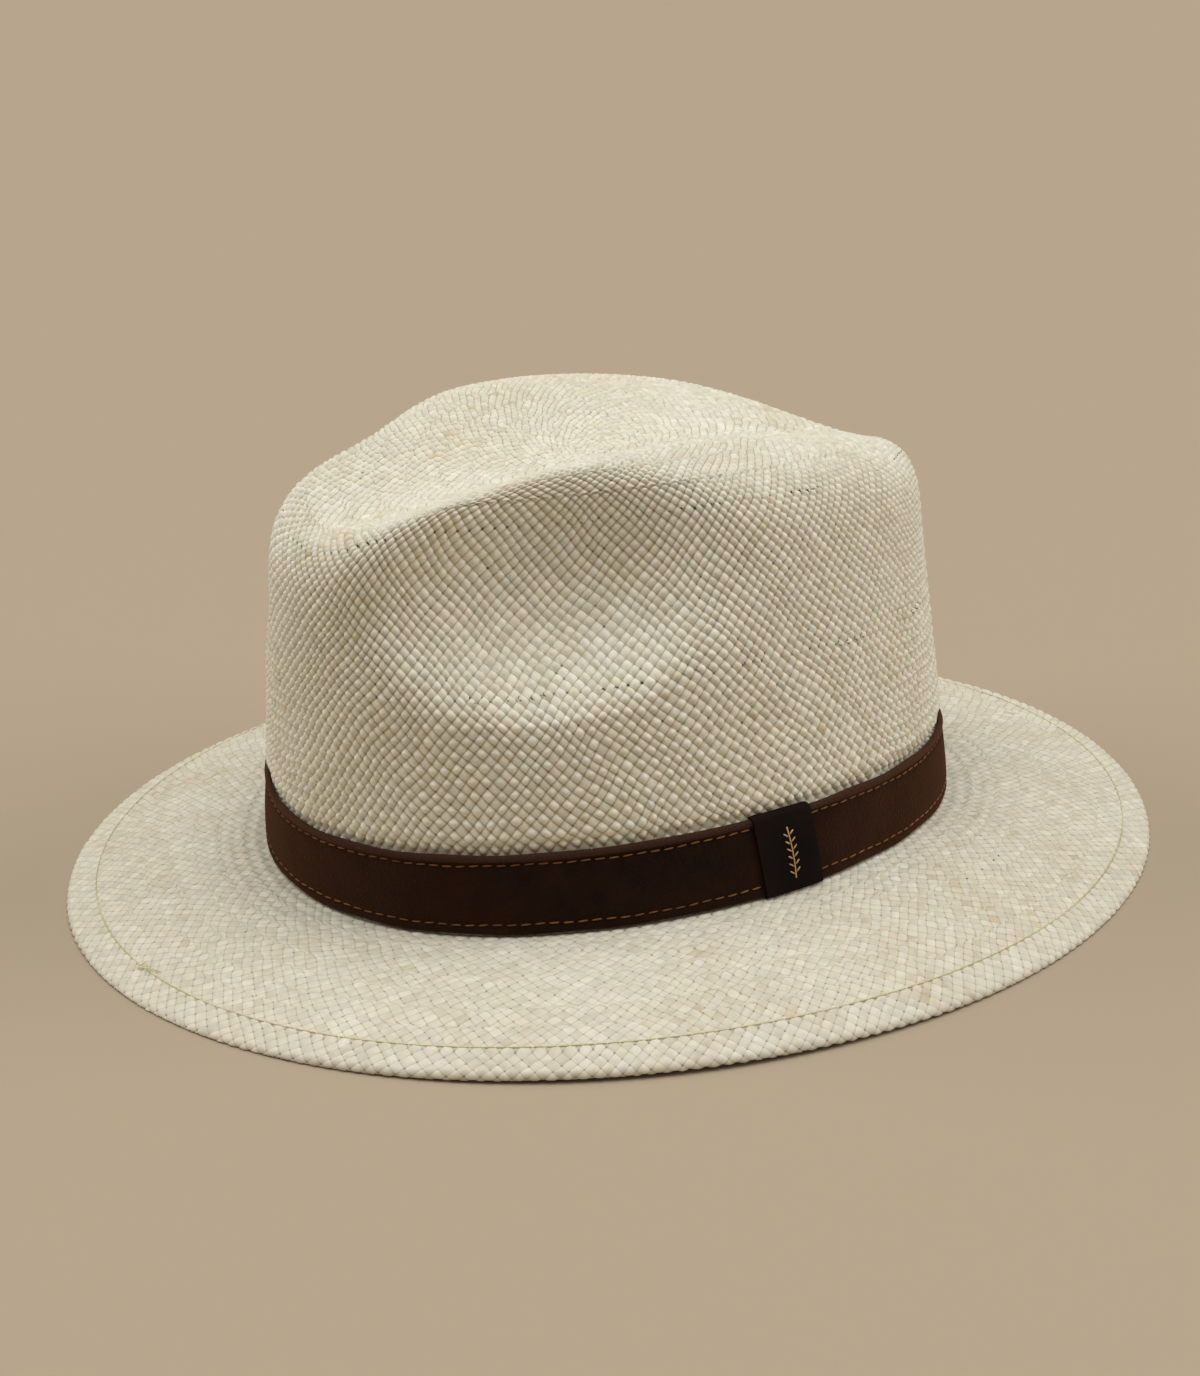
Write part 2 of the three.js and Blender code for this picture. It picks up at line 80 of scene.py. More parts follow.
@dataclass(frozen=True)
class HatForm:
    """The block that the hat is shaped on: a teardrop crown with two front pinches, and a brim.

    An angle runs round the hat from +X by the rear. A distance runs up the crown from the band
    line, and an inset runs inwards from the band's face.
    """

    band_half_width: float = 88.8
    band_half_length: float = 104.0
    band_line: float = 15.9
    band_saddle: float = 3.2
    band_tilt: float = 0.8
    crown_shift: float = -4.1
    crown_height: float = 108.5
    share_limit: float = 1.1
    top_half_width: float = 68.8
    top_half_length: float = 102.3
    lean: float = -5.8
    egg: float = 0.12
    slope: float = -5.4
    sag: float = -5.2
    shoulder: float = 18.9
    dome: float = 16.1
    plan_radius: float = 92.0
    dent_depth: float = 26.5
    dent_y: float = -10.9
    dent_half_length: float = 136.4
    dent_half_width: float = 46.0
    dent_widen: float = 0.32
    dent_power: float = 1.75
    dent_from: float = 0.5
    dent_fade: float = 0.3
    pinch_depth: float = 26.8
    pinch_angle: float = -40.3
    pinch_push: float = -31.7
    pinch_height: float = 96.0
    pinch_half_length: float = 64.8
    pinch_above: float = 40.1
    pinch_below: float = 42.3
    pinch_inward: float = 42.0
    pinch_power: float = 1.72
    pinch_lean: float = 0.15
    pinch_drop: float = 9.8
    pinch_stand_off: float = 4.0
    pinch_blend: float = 3.0
    ease_rounds: int = 14
    ease_start: float = 0.28
    ease_fade: float = 0.14
    grid_steps: int = 144
    grid_rows: int = 72
    brim_half_width: float = 140.8
    brim_half_length: float = 166.1
    edge_drop: float = 13.9
    edge_wave: float = 0.85
    brim_arch: float = 3.0
    below_band: float = 0.9
    band_height: float = 20.6
    bulge: float = 4.0
    inset_in_band: float = 2.0
    inset_above_band: float = 0.4
    inset_fade: float = 20.0

    @property
    def wall_length(self) -> float:
        """Length of the crown's wall up its side."""
        return self.crown_height - self.shoulder

    @property
    def shoulder_length(self) -> float:
        """Length of the rounded shoulder."""
        return self.shoulder * math.pi / 2

    @property
    def top_length(self) -> float:
        """Length of the top from the shoulder to its middle."""
        return self.plan_radius - self.shoulder

    @property
    def meridian(self) -> float:
        """Length from the band line to the middle of the top."""
        return self.wall_length + self.shoulder_length + self.top_length

    def line(self, angle: Array) -> Array:
        """Height of the band line over its mean height."""
        return self.band_saddle * np.cos(2 * angle) + self.band_tilt * np.sin(angle)

    def side(self, angle: Array) -> Array:
        """Level direction straight out from the band.

        Args:
            angle: places round the hat.
        Returns:
            Unit vectors with no height.
        """
        out = np.stack([np.cos(angle) / self.band_half_width, np.sin(angle) / self.band_half_length,
                        np.zeros_like(angle)], -1)
        return unit(out)

    def plain(self, angle: Array, distance: Array) -> tuple[Array, Array]:
        """The crown before its dent and pinches.

        Args:
            angle: places round the hat.
            distance: lengths up the crown.
        Returns:
            Points, and each point's share of the crown's height.
        """
        wall = np.clip(distance / self.wall_length, 0, 1)
        turned = np.clip((distance - self.wall_length) / self.shoulder_length, 0, 1) * math.pi / 2
        past = (distance - self.wall_length - self.shoulder_length) / self.top_length
        reach = 1 - np.clip(past, 0, 1)
        inset = self.shoulder * (1 - np.cos(turned))
        half_width = mix(self.band_half_width, self.top_half_width, wall)
        half_length = mix(self.band_half_length, self.top_half_length, wall)
        y = (half_length - inset) * reach * np.sin(angle) + self.lean * wall
        x = (half_width - inset) * reach * np.cos(angle) * (1 + self.egg * wall * y / 100)
        rise = wall * self.wall_length + self.shoulder * np.sin(turned) + self.dome * (1 - reach**2)
        share = np.minimum(rise / self.crown_height, self.share_limit)
        tilt = self.slope * y / 100 + self.sag * ((y / 100) ** 2 - 0.5)
        z = self.line(angle) * np.maximum(1 - share, 0) + rise + share * tilt
        return np.stack([x, y, z], -1), share

    def dent(self, points: Array, share: Array) -> Array:
        """Depth of the teardrop dent in the top at each point."""
        along = (points[..., 1] - self.dent_y) / self.dent_half_length
        width = self.dent_half_width * (1 + self.dent_widen * along)
        reach = np.minimum((points[..., 0] / width) ** 2 + along**2, 1)
        fade = np.clip((share - self.dent_from) / self.dent_fade, 0, 1)
        return self.dent_depth * (1 - reach) ** self.dent_power * fade

    def pinch(self, points: Array) -> Array:
        """The points with both front pinches pushed in."""
        at = math.radians(self.pinch_angle)
        push = math.radians(self.pinch_push)
        out = np.array([math.cos(push), math.sin(push)])
        along = np.array([-out[1], out[0]])
        centre = np.array([(self.band_half_width - self.pinch_stand_off) * math.cos(at),
                           (self.band_half_length - self.pinch_stand_off) * math.sin(at)])
        x, y, z = points[..., 0], points[..., 1], points[..., 2]
        offset = np.stack([np.abs(x), y], -1) - centre
        side = offset @ along
        depth = np.minimum(offset @ out, 0)
        height = z - self.pinch_height - self.pinch_lean * side
        reach = np.where(height > 0, self.pinch_above, self.pinch_below)
        far = (side / self.pinch_half_length) ** 2 + (height / reach) ** 2
        amount = np.maximum(1 - far - (depth / self.pinch_inward) ** 2, 0) ** self.pinch_power
        which = x / np.sqrt(x**2 + self.pinch_blend**2)
        return np.stack([x - which * out[0] * amount * self.pinch_depth,
                         y - out[1] * amount * self.pinch_depth,
                         z - amount * self.pinch_drop], -1)

    def eased_grid(self) -> Array:
        """The whole crown on a grid, with its creases eased as blocked straw eases them.

        Returns:
            Points by row up the crown and step round it.
        """
        rows = np.linspace(0, 1, self.grid_rows + 1)
        angles = np.arange(self.grid_steps) / self.grid_steps * FULL_TURN
        angle, distance = np.meshgrid(angles, rows * self.meridian)
        grid, share = self.plain(angle, distance)
        grid[..., 2] -= self.dent(grid, share)
        grid = self.pinch(grid)
        weight = np.clip((rows - self.ease_start) / self.ease_fade, 0, 1)[1:-1, None, None] / 2
        for _ in range(self.ease_rounds):
            beside = np.roll(grid, 1, 1) + np.roll(grid, -1, 1)
            mean = (beside[1:-1] + grid[2:] + grid[:-2]) / 4
            grid[1:-1] = mix(grid[1:-1], mean, weight)
            grid[-1] = grid[-2].mean(0)
        return grid

    def layer(self, angle: Array, height: Array, inset: Array) -> Array:
        """A place in the layers round the band: height above the band line, inset from its face."""
        points, _ = self.plain(angle, np.maximum(height, 0))
        points = points - np.asarray(inset)[..., None] * self.side(angle)
        points[..., 1] += self.crown_shift
        points[..., 2] += np.minimum(height, 0) + self.band_line
        return points

    def brim(self, angle: Array, share: Array) -> Array:
        """The brim's upper face. Share runs from the band line, 0, to the edge, 1."""
        edge = -self.edge_drop - self.edge_wave * np.sin(3 * angle)
        base = self.line(angle) - self.below_band
        x = mix(self.band_half_width, self.brim_half_width, share) * np.cos(angle)
        y = mix(self.band_half_length, self.brim_half_length, share) * np.sin(angle)
        z = mix(base, edge, share) + self.brim_arch * 4 * share * (1 - share)
        return np.stack([x, y + self.crown_shift * (1 - share), z + self.band_line], -1)

    def brim_width(self, angle: Array) -> Array:
        """Width of the brim along its slope."""
        ones = np.ones_like(angle)
        return np.linalg.norm(self.brim(angle, ones) - self.brim(angle, 0 * ones), axis=-1)


class CrownSurface:
    """The straw's outer face on the crown, read smoothly off the eased grid."""

    def __init__(self, form: HatForm) -> None:
        """Eases the form once."""
        self.form = form
        self.grid = form.eased_grid()

    @staticmethod
    def _weights(share: Array) -> list[Array]:
        """Catmull-Rom weights of four neighbours."""
        s, s2, s3 = share, share**2, share**3
        return [(-s3 + 2 * s2 - s) / 2, (3 * s3 - 5 * s2 + 2) / 2,
                (-3 * s3 + 4 * s2 + s) / 2, (s3 - s2) / 2]

    def __call__(self, angle: Array, distance: Array) -> Array:
        """Points of the straw's outer face.

        Args:
            angle: places round the hat.
            distance: lengths up the crown from the band line, which may start a little below it.
        Returns:
            Points in millimetres, in the row frame.
        """
        form = self.form
        column = angle / FULL_TURN * form.grid_steps
        row = np.clip(distance / form.meridian, 0, 1) * form.grid_rows
        left = np.floor(column).astype(int)
        low = np.minimum(np.floor(row).astype(int), form.grid_rows - 1)
        across = self._weights(column - left)
        up = self._weights(row - low)
        points = 0
        for i in range(4):
            for j in range(4):
                rows = np.clip(low + j - 1, 0, form.grid_rows)
                steps = (left + i - 1) % form.grid_steps
                points = points + self.grid[rows, steps] * (across[i] * up[j])[..., None]
        swell = smooth_step(distance, form.band_height, form.band_height + form.bulge)
        fade = 1 - smooth_step(distance, form.wall_length - form.inset_fade, form.wall_length)
        inset = mix(form.inset_in_band, form.inset_above_band * fade, swell)
        points = points - inset[..., None] * form.side(angle)
        points[..., 1] += form.crown_shift
        points[..., 2] += form.band_line + np.minimum(distance, 0)
        return points


# ---- Weaving ---------------------------------------------------------------------------------

@dataclass(frozen=True)
class Zone:
    """A ring of weave with the same number of strands all round.

    Low and high are its ends on the surface's own lengthwise coordinate, rows the number of rows
    of floats between them, and relief how far a float stands out. Falling and rising are how full
    each family's floats are at the two ends, and corners how far a float's corners drop. A sealed
    end is a level cut that meets another piece.
    """

    strands: int
    low: float
    high: float
    rows: float
    relief: float
    pits: float = 1.0
    falling: tuple = (1.0, 1.0)
    rising: tuple = (0.9, 0.9)
    corners: float = 1.0
    sealed: tuple = (False, False)


@dataclass
class Patch:
    """Faces gathered for one straw piece, in millimetres."""

    points: list = field(default_factory=list)
    faces: list = field(default_factory=list)
    coords: list = field(default_factory=list)
    tones: list = field(default_factory=list)
    overs: list = field(default_factory=list)
    depths: list = field(default_factory=list)
    facings: list = field(default_factory=list)
    rounded: list = field(default_factory=list)
    count: int = 0

    def add_points(self, points: Array, depths: Array, facings: Array) -> Array:
        """Adds points, how deep each lies in the weave and the way it faces, and returns their numbers."""
        numbers = np.arange(self.count, self.count + len(points))
        self.points.append(points)
        self.depths.append(depths)
        self.facings.append(facings)
        self.count += len(points)
        return numbers

    def add_faces(self, faces: Array, coords: Array, tone: Array, over: Array,
                  rounded: bool = True) -> None:
        """Adds faces of one size with their strand coordinates, tone and which strand is on top."""
        self.faces.append(faces)
        self.coords.append(coords.reshape(-1, 2))
        self.tones.append(np.broadcast_to(tone, len(faces)))
        self.overs.append(np.broadcast_to(over, len(faces)))
        self.rounded.append(np.full(len(faces), rounded))

    def build(self, name: str) -> Piece:
        """Makes the mesh object in metres.

        Args:
            name: the piece's name.
        Returns:
            The new object, with its strand coordinates, tones and depths.
        """
        mesh = bpy.data.meshes.new(name)
        mesh.from_pydata((np.concatenate(self.points) * MM).tolist(), [],
                         [face for group in self.faces for face in group.tolist()])
        layer = mesh.uv_layers.new(name="strands")
        layer.data.foreach_set("uv", np.concatenate(self.coords).astype(np.float32).ravel())
        for label, domain, values in (("strand_tone", "FACE", self.tones),
                                      ("strand_over", "FACE", self.overs),
                                      ("weave_depth", "POINT", self.depths)):
            attribute = mesh.attributes.new(label, "FLOAT", domain)
            attribute.data.foreach_set("value", np.concatenate(values).astype(np.float32))
        mesh.polygons.foreach_set("use_smooth", np.concatenate(self.rounded))
        mesh.update()
        mesh.normals_split_custom_set_from_vertices(np.concatenate(self.facings).tolist())
        piece = bpy.data.objects.new(name, mesh)
        bpy.context.scene.collection.objects.link(piece)
        return piece


class WovenZone:
    """One ring of weave as real relief, ready to be laid into one or more pieces.

    The strands lie on both diagonals. Where their numbers add up even, the falling strand floats
    over the rising one, and where odd, the rising strand does. Each play is how much one strand
    differs from the next by chance, and each probe is a step that finds the surface's slope.
    """

    width_play = 0.1
    lift_play = 0.12
    tone_play = 0.06
    spot_play = 0.05
    pit_play = (0.3, 1)
    pit_depth = 0.9
    deepest = 1.9
    end_level = 0.3
    drop_along = 0.5
    drop_beside = 0.42
    border_level = -0.05
    border_dip = 0.3
    turn_probe = 1e-3
    length_probe = 0.2
    coarse_stops = (-1.0, 0.0)
    fine_stops = (-1, -0.7, 0, 0.7)
    turn_waves = ((0.3, 7, 11), (0.22, 13, -7), (0.14, 29, 5))
    rise_waves = ((0.3, 5, math.inf), (0.2, 17, 9), (0.12, 31, -6))

    def __init__(self, zone: Zone, surface: Surface, split: int, random: np.random.Generator,
                 thickness: float = 0.0) -> None:
        """Works out every ring of mesh points.

        Args:
            zone: the ring of weave.
            surface: gives points for angles and lengths.
            split: mesh steps to each strand, 4 for full relief or 2 for a coarse one.
            random: the seeded source of the strands' play.
            thickness: 0 on the outer face, or the straw's thickness on the inner one.
        """
        self.data = zone
        self.surface = surface
        self.split = split
        self.thickness = thickness
        self.steps = max(2, round(zone.rows * 2 * split))
        count = zone.strands
        self.stops = np.array(self.fine_stops if split == 4 else self.coarse_stops)
        self.play = self.both(lambda: random.uniform(-self.width_play, self.width_play, count))
        self.lift = self.both(lambda: random.uniform(1 - self.lift_play, 1 + self.lift_play, count))
        self.pit = random.uniform(*self.pit_play, (count, count)) * self.pit_depth * zone.pits
        self.tone = self.both(lambda: random.normal(0.5, self.tone_play, count))
        self.spots = random.normal(0, self.spot_play, (count, count))
        self.phases = random.uniform(0, FULL_TURN, 8)
        self.rings = [self.ring(step) for step in range(self.steps + 1)]
        self.facings = [self.facing(step) for step in range(self.steps + 1)]

    @staticmethod
    def both(draw: Callable[[], Array]) -> dict[str, Array]:
        """One draw for the falling strands, then one for the rising strands."""
        return {"falling": draw(), "rising": draw()}

    def wander(self, angle: Array, length: Array) -> tuple[Array, Array]:
        """How far the weave drifts from a true lattice, in strands, round the hat and up it."""
        drifts = []
        for waves, phases in ((self.turn_waves, self.phases[:3]), (self.rise_waves, self.phases[3:])):
            drifts.append(sum(size * np.sin(times * angle + length / reach + phase)
                              for (size, times, reach), phase in zip(waves, phases)))
        return drifts[0], drifts[1]

    def level(self, first: tuple, second: tuple, share: float) -> Array:
        """Height of mesh points in the weave, 1 at the top of a float and 0 in a gap.

        Args:
            first: cell numbers, places in the cell and edge marks on the falling strands.
            second: the same on the rising strands.
            share: how far up the zone the ring is.
        Returns:
            The heights.
        """
        (a, u, edge_a), (b, v, edge_b) = first, second
        count = self.data.strands
        falling_over = (a + b) % 2 == 0
        along = np.where(falling_over, v, u)
        beside = np.where(falling_over, u, v)
        falling = self.lift["falling"][a % count] * mix(self.data.falling[0], self.data.falling[1], share)
        rising = self.lift["rising"][b % count] * mix(self.data.rising[0], self.data.rising[1], share)
        rounding = (1 - self.drop_along * along**2 - self.drop_beside * beside**2
                    - self.data.corners * along**2 * beside**2)
        pillow = rounding * np.where(falling_over, falling, rising)
        border = self.border_level - self.border_dip * np.where(edge_a, v, u) ** 2
        level = np.where(edge_a | edge_b, border, pillow)
        return np.where(edge_a & edge_b, -self.pit[a % count, b % count], level)

    def ring(self, step: int) -> dict:
        """Mesh points of one level ring.

        Args:
            step: number of the ring from the zone's low end.
        Returns:
            Points in millimetres and their depths in the weave.
        """
        zone, split, count = self.data, self.split, self.data.strands
        half = split // 2
        across = np.arange(split * count) * 2 + (step % 2)
        places, cells = [], []
        for number, key in (((across + step) // 2, "falling"), ((across - step) // 2, "rising")):
            cell = (number + half) // split
            part = (number + half) % split
            inner = self.stops[part]
            play = self.play[key]
            shift = mix(play[cell % count], play[(cell + 1) % count], (inner + 1) / 2)
            places.append(cell + inner / 2 + shift)
            cells.append((cell, inner, part == 0))
        level = self.level(cells[0], cells[1], step / self.steps)
        pitch = (zone.high - zone.low) / zone.rows / 2
        free = min(1.0, step / split, (self.steps - step) / split)
        length = zone.low + (zone.high - zone.low) * step / self.steps
        length = length + (places[0] - places[1] - step / split) * pitch * free
        angle = (places[0] + places[1]) * math.pi / count
        turn, rise = self.wander(angle, length)
        angle = angle + turn * math.pi / count
        length = length + rise * pitch * free
        if (step == 0 and zone.sealed[0]) or (step == self.steps and zone.sealed[1]):
            level = np.full_like(level, self.end_level)
        base = self.surface(angle, length)
        right = self.surface(angle + self.turn_probe, length) - self.surface(angle - self.turn_probe, length)
        up = self.surface(angle, length + self.length_probe) - self.surface(angle, length - self.length_probe)
        normal = unit(np.cross(right, up))
        sign = -1 if self.thickness else 1
        stand = sign * zone.relief * (level - 0.5) - self.thickness
        points = base + normal * stand[:, None]
        points[:, 2] = np.maximum(points[:, 2], 0)
        return {"points": points, "depth": np.clip(1 - level, 0, self.deepest), "normal": sign * normal}

    def facing(self, step: int) -> Array:
        """The way each point of a ring faces, which is left open, at 0, along a zone's unsealed end.

        Args:
            step: number of the ring from the zone's low end.
        Returns:
            One direction for each point.
        """
        ring = self.rings[step]
        if step in (0, self.steps):
            return ring["normal"] if self.data.sealed[step > 0] else np.zeros_like(ring["normal"])
        odd = step % 2
        beside = [self.rings[row]["points"] for row in (step - 1, step + 1)]
        left_below, left_above = (np.roll(points, 1 - odd, 0) for points in beside)
        right_below, right_above = (np.roll(points, -odd, 0) for points in beside)
        facing = unit(np.cross(right_above - left_below, left_above - right_below))
        return -facing if self.thickness else facing

    def lay(self, patch: Patch, start: int = 0, stop: int | None = None) -> tuple[Array, Array]:
        """Adds the faces centred on a run of rings to a piece.

        Args:
            patch: the piece being gathered.
            start: first ring, 0 for the zone's low end.
            stop: last ring, none for the zone's high end.
        Returns:
            The point numbers of the run's low and high borders.
        """
        stop = self.steps if stop is None else stop
        count, split = self.data.strands, self.split
        numbers = {}
        for step in range(max(start - 1, 0), min(stop + 1, self.steps) + 1):
            ring = self.rings[step]
            numbers[step] = patch.add_points(ring["points"], ring["depth"], self.facings[step])
        size = split * count
        order = np.arange(size)
        for step in range(start, stop + 1):
            odd = step % 2
            corners = [(order, step, order * 2 + odd)]
            if step > 0:
                corners.append(((order + odd) % size, step - 1, order * 2 + odd + 1))
            corners.append(((order + 1) % size, step, order * 2 + odd + 2))
            if step < self.steps:
                corners.append(((order + odd) % size, step + 1, order * 2 + odd + 1))
            if self.thickness:
                corners.reverse()
            faces = np.stack([numbers[row][which] for which, row, _ in corners], -1)
            coords = np.stack([np.stack([(at + row) / 2 / split, (at - row) / 2 / split], -1)
                               for _, row, at in corners], 1)
            centre = order * 2 + odd + 1
            a = np.floor((centre + step) / 2 / split + 0.5).astype(int)
            b = np.floor((centre - step) / 2 / split + 0.5).astype(int)
            over = (a + b) % 2 == 0
            tone = np.where(over, self.tone["falling"][a % count], self.tone["rising"][b % count])
            patch.add_faces(faces, coords, tone + self.spots[a % count, b % count], over.astype(float))
        low = self.zigzag(numbers, start - 1) if start > 0 else numbers[0]
        high = self.zigzag(numbers, stop) if stop < self.steps else numbers[self.steps]
        return low, high

    @staticmethod
    def zigzag(numbers: dict, below: int) -> Array:
        """Point numbers along the zigzag border between a ring and the next one up."""
        pair = (numbers[below], numbers[below + 1])
        even, odd = pair if below % 2 == 0 else pair[::-1]
        return np.stack([even, odd], -1).ravel()


def zip_rings(patch: Patch, lower: Array, upper: Array, rounded: bool = True) -> None:
    """Joins two closed rings of points, whatever their counts, with one row of faces.

    Args:
        patch: the piece being gathered.
        lower: point numbers of the ring below.
        upper: point numbers of the ring above.
        rounded: False for the cut end of a piece, which is shaded flat.
    """
    faces = []
    i = j = 0
    while i < len(lower) or j < len(upper):
        if j >= len(upper) or (i < len(lower) and (i + 1) / len(lower) <= (j + 1) / len(upper)):
            faces.append((lower[i], lower[(i + 1) % len(lower)], upper[j % len(upper)]))
            i += 1
        else:
            faces.append((lower[i % len(lower)], upper[(j + 1) % len(upper)], upper[j]))
            j += 1
    faces = np.array(faces)
    patch.add_faces(faces, np.zeros((len(faces), 3, 2)), np.array(0.5), np.array(0.0), rounded)


def close_tip(patch: Patch, ring: Array, point: Array, inner: bool) -> None:
    """Closes the weave's middle with a fan of faces round one point."""
    tip = patch.add_points(point[None], np.array([0.4]), np.zeros((1, 3)))[0]
    after = np.roll(ring, -1)
    order = (after, ring) if inner else (ring, after)
    faces = np.stack([order[0], order[1], np.full(len(ring), tip)], -1)
    patch.add_faces(faces, np.zeros((len(ring), 3, 2)), np.array(0.5), np.array(0.0))


# ---- Straw body ------------------------------------------------------------------------------

@dataclass
class StrawBody:
    """The woven hat body: a crown, a brim, and a hem folded under along the brim's edge."""

    form: HatForm
    thickness: float = 1.0
    seed: int = 20
    wall_strands: int = 172
    wall_low: float = -1.2
    wall_open: float = 17.0
    wall_high: float = 112.0
    wall_row: float = 3.45
    wall_falling: tuple = (0.38, 0.85)
    wall_rising: tuple = (1.15, 0.75)
    wall_corners: float = 1.7
    crown_evens: tuple = (0.039, 0.117)
    evens_from: float = 45.0
    evens_to: float = 118.0
    crown_relief: float = 0.95
    shoulder_relief: float = 0.7
    top_relief: float = 0.34
    inner_relief: float = 0.3
    brim_relief: float = 0.2
    brim_row: float = 3.75
    brim_tuck: float = 1.6
    brim_pits: float = 1.2
    brim_evens: float = 0.04
    ripple: float = 0.13
    ripple_row: float = 4.3
    ripple_from: float = -26.0
    ripple_to: float = -8.0
    hem_width: float = 8.4
    hem_radius: float = 1.2
    hem_row: float = 3.8
    hem_relief: float = 0.42
    hem_pits: float = 1.5
    join: float = 0.25
    top_rings: tuple = ((122, 148), (131, 132), (140, 116), (149, 100), (158, 84), (167, 66),
                        (175, 48), (183, 32), (189, 16))
    brim_strands: tuple = (158, 172, 186, 200, 214, 228, 240)
    brim_span: float = 52.0
    top_row: float = 3.3
    hem_strands: int = 246

    def __post_init__(self) -> None:
        """Prepares the smooth crown."""
        self.crown = CrownSurface(self.form)

    def crown_surface(self, angle: Array, length: Array) -> Array:
        """The crown's outer face, with the strands spread evenly round its oval."""
        high = smooth_step(length, self.evens_from, self.evens_to)
        evens = mix(self.crown_evens[0], self.crown_evens[1], high)
        return self.crown(angle - evens * np.sin(2 * angle), length)

    def brim_surface(self, angle: Array, length: Array) -> Array:
        """The brim's upper face from the hem, at minus the brim's span, to the band line at 0."""
        angle = angle - self.brim_evens * np.sin(2 * angle)
        inside_hem = 1 - self.hem_width / self.form.brim_width(angle)
        points = self.form.brim(angle, -length / self.brim_span * inside_hem)
        waves = np.sin(FULL_TURN * length / self.ripple_row)
        points[..., 2] += self.ripple * waves * smooth_step(length, self.ripple_from, self.ripple_to)
        return points

    def hem_surface(self, angle: Array, length: Array) -> Array:
        """The hem's skin, over its top at lengths above 0, round its edge, and under it."""
        angle = angle - self.brim_evens * np.sin(2 * angle)
        radius = self.hem_radius
        turn = np.clip(math.pi / 2 + length / radius, -math.pi / 2, math.pi / 2)
        flat = np.maximum(length, 0) + np.maximum(-length - math.pi * radius, 0)
        inwards = radius * (1 - np.cos(turn)) + flat
        points = self.form.brim(angle, 1 - inwards / self.form.brim_width(angle))
        points[..., 2] -= radius * (1 - np.sin(turn))
        return points

    def woven(self, zones: list[Zone], surface: Surface, split: int, inner: bool) -> list[WovenZone]:
        """Weaves a list of zones on one face of the straw."""
        if inner:
            flatter = [replace(zone, relief=min(zone.relief, self.inner_relief)) for zone in zones]
            return [WovenZone(zone, surface, split, self.random, self.thickness) for zone in flatter]
        return [WovenZone(zone, surface, split, self.random) for zone in zones]

    @staticmethod
    def course(zones: list[WovenZone], first: tuple, last: tuple) -> list[tuple]:
        """The zones between two cuts, each with its first and last rings.

        Args:
            zones: all zones of one face, from low to high.
            first: number of the zone that the course starts in, and the share of it that is left out.
            last: number of the zone that it ends in, and the share of it that is taken in.
        Returns:
            The zones with their first and last rings.
        """
        found = []
        for number in range(first[0], last[0] + 1):
            zone, start = zones[number], 0
            stop = zone.steps
            if number == first[0] and first[1] > 0:
                start = round(zone.steps * first[1]) + 1
            if number == last[0]:
                stop = round(zone.steps * last[1])
            found.append((zone, start, stop))
        return found

    def shell(self, name: str, outer: list[tuple], inner: list[tuple], tip: bool = False) -> Piece:
        """One closed piece of straw between an outer and an inner face.

        Args:
            name: the piece's name.
            outer: zones of the outer face with their first and last rings, from low to high.
            inner: the same on the inner face.
            tip: True if the piece closes over the crown's middle.
        Returns:
            The new piece.
        """
        patch = Patch()
        ends = []
        for run in (outer, inner):
            borders = [zone.lay(patch, start, stop) for zone, start, stop in run]
            for below, above in zip(borders, borders[1:]):
                if run is outer:
                    zip_rings(patch, below[1], above[0])
                else:
                    zip_rings(patch, above[0], below[1])
            ends.append((borders[0][0], borders[-1][1]))
        if tip:
            middle = self.crown_surface(np.zeros(1), np.full(1, self.form.meridian))[0]
            close_tip(patch, ends[0][1], middle, False)
            close_tip(patch, ends[1][1], middle - np.array([0, 0, self.thickness]), True)
        else:
            zip_rings(patch, ends[0][1], ends[1][1], False)
        zip_rings(patch, ends[1][0], ends[0][0], False)
        return patch.build(name)

    def build(self) -> list[Piece]:
        """Weaves the whole body as closed pieces that meet edge to edge."""
        self.random = np.random.default_rng(self.seed)
        return [self.build_foot(), *self.build_crown(), *self.build_brim(), self.build_hem()]

    def build_foot(self) -> Piece:
        """The plain ring of the crown behind the band."""
        rows = (self.wall_open - self.wall_low) / self.wall_row
        zone = Zone(self.wall_strands, self.wall_low, self.wall_open, rows, self.inner_relief,
                    sealed=(True, True))
        faces = [self.woven([zone], self.crown_surface, 2, inner) for inner in (False, True)]
        return self.shell("straw_crown_foot", *(self.course(face, (0, 0), (0, 1)) for face in faces))

    def build_crown(self) -> list[Piece]:
        """The crown above the band: two courses of wall, the shoulder, and the top in shrinking rings."""
        rows = (self.wall_high - self.wall_open) / self.wall_row
        zones = [Zone(self.wall_strands, self.wall_open, self.wall_high, rows, self.crown_relief,
                      falling=self.wall_falling, rising=self.wall_rising, corners=self.wall_corners,
                      sealed=(True, False))]
        low = self.wall_high
        for number, (high, strands) in enumerate(self.top_rings):
            relief = mix(self.shoulder_relief, self.top_relief, number / (len(self.top_rings) - 1))
            zones.append(Zone(strands, low + self.join, high, (high - low) / self.top_row, relief))
            low = high
        outer = self.woven(zones, self.crown_surface, 4, False)
        inner = self.woven(zones, self.crown_surface, 2, True)
        cuts = [(0, 0), (0, 0.45), (0, 0.9), (2, 0.5), (len(self.top_rings), 1)]
        names = ("straw_crown_wall", "straw_crown_upper_wall", "straw_crown_shoulder", "straw_crown_top")
        return [self.shell(name, self.course(outer, first, last), self.course(inner, first, last),
                           tip=name == names[-1])
                for name, first, last in zip(names, cuts, cuts[1:])]

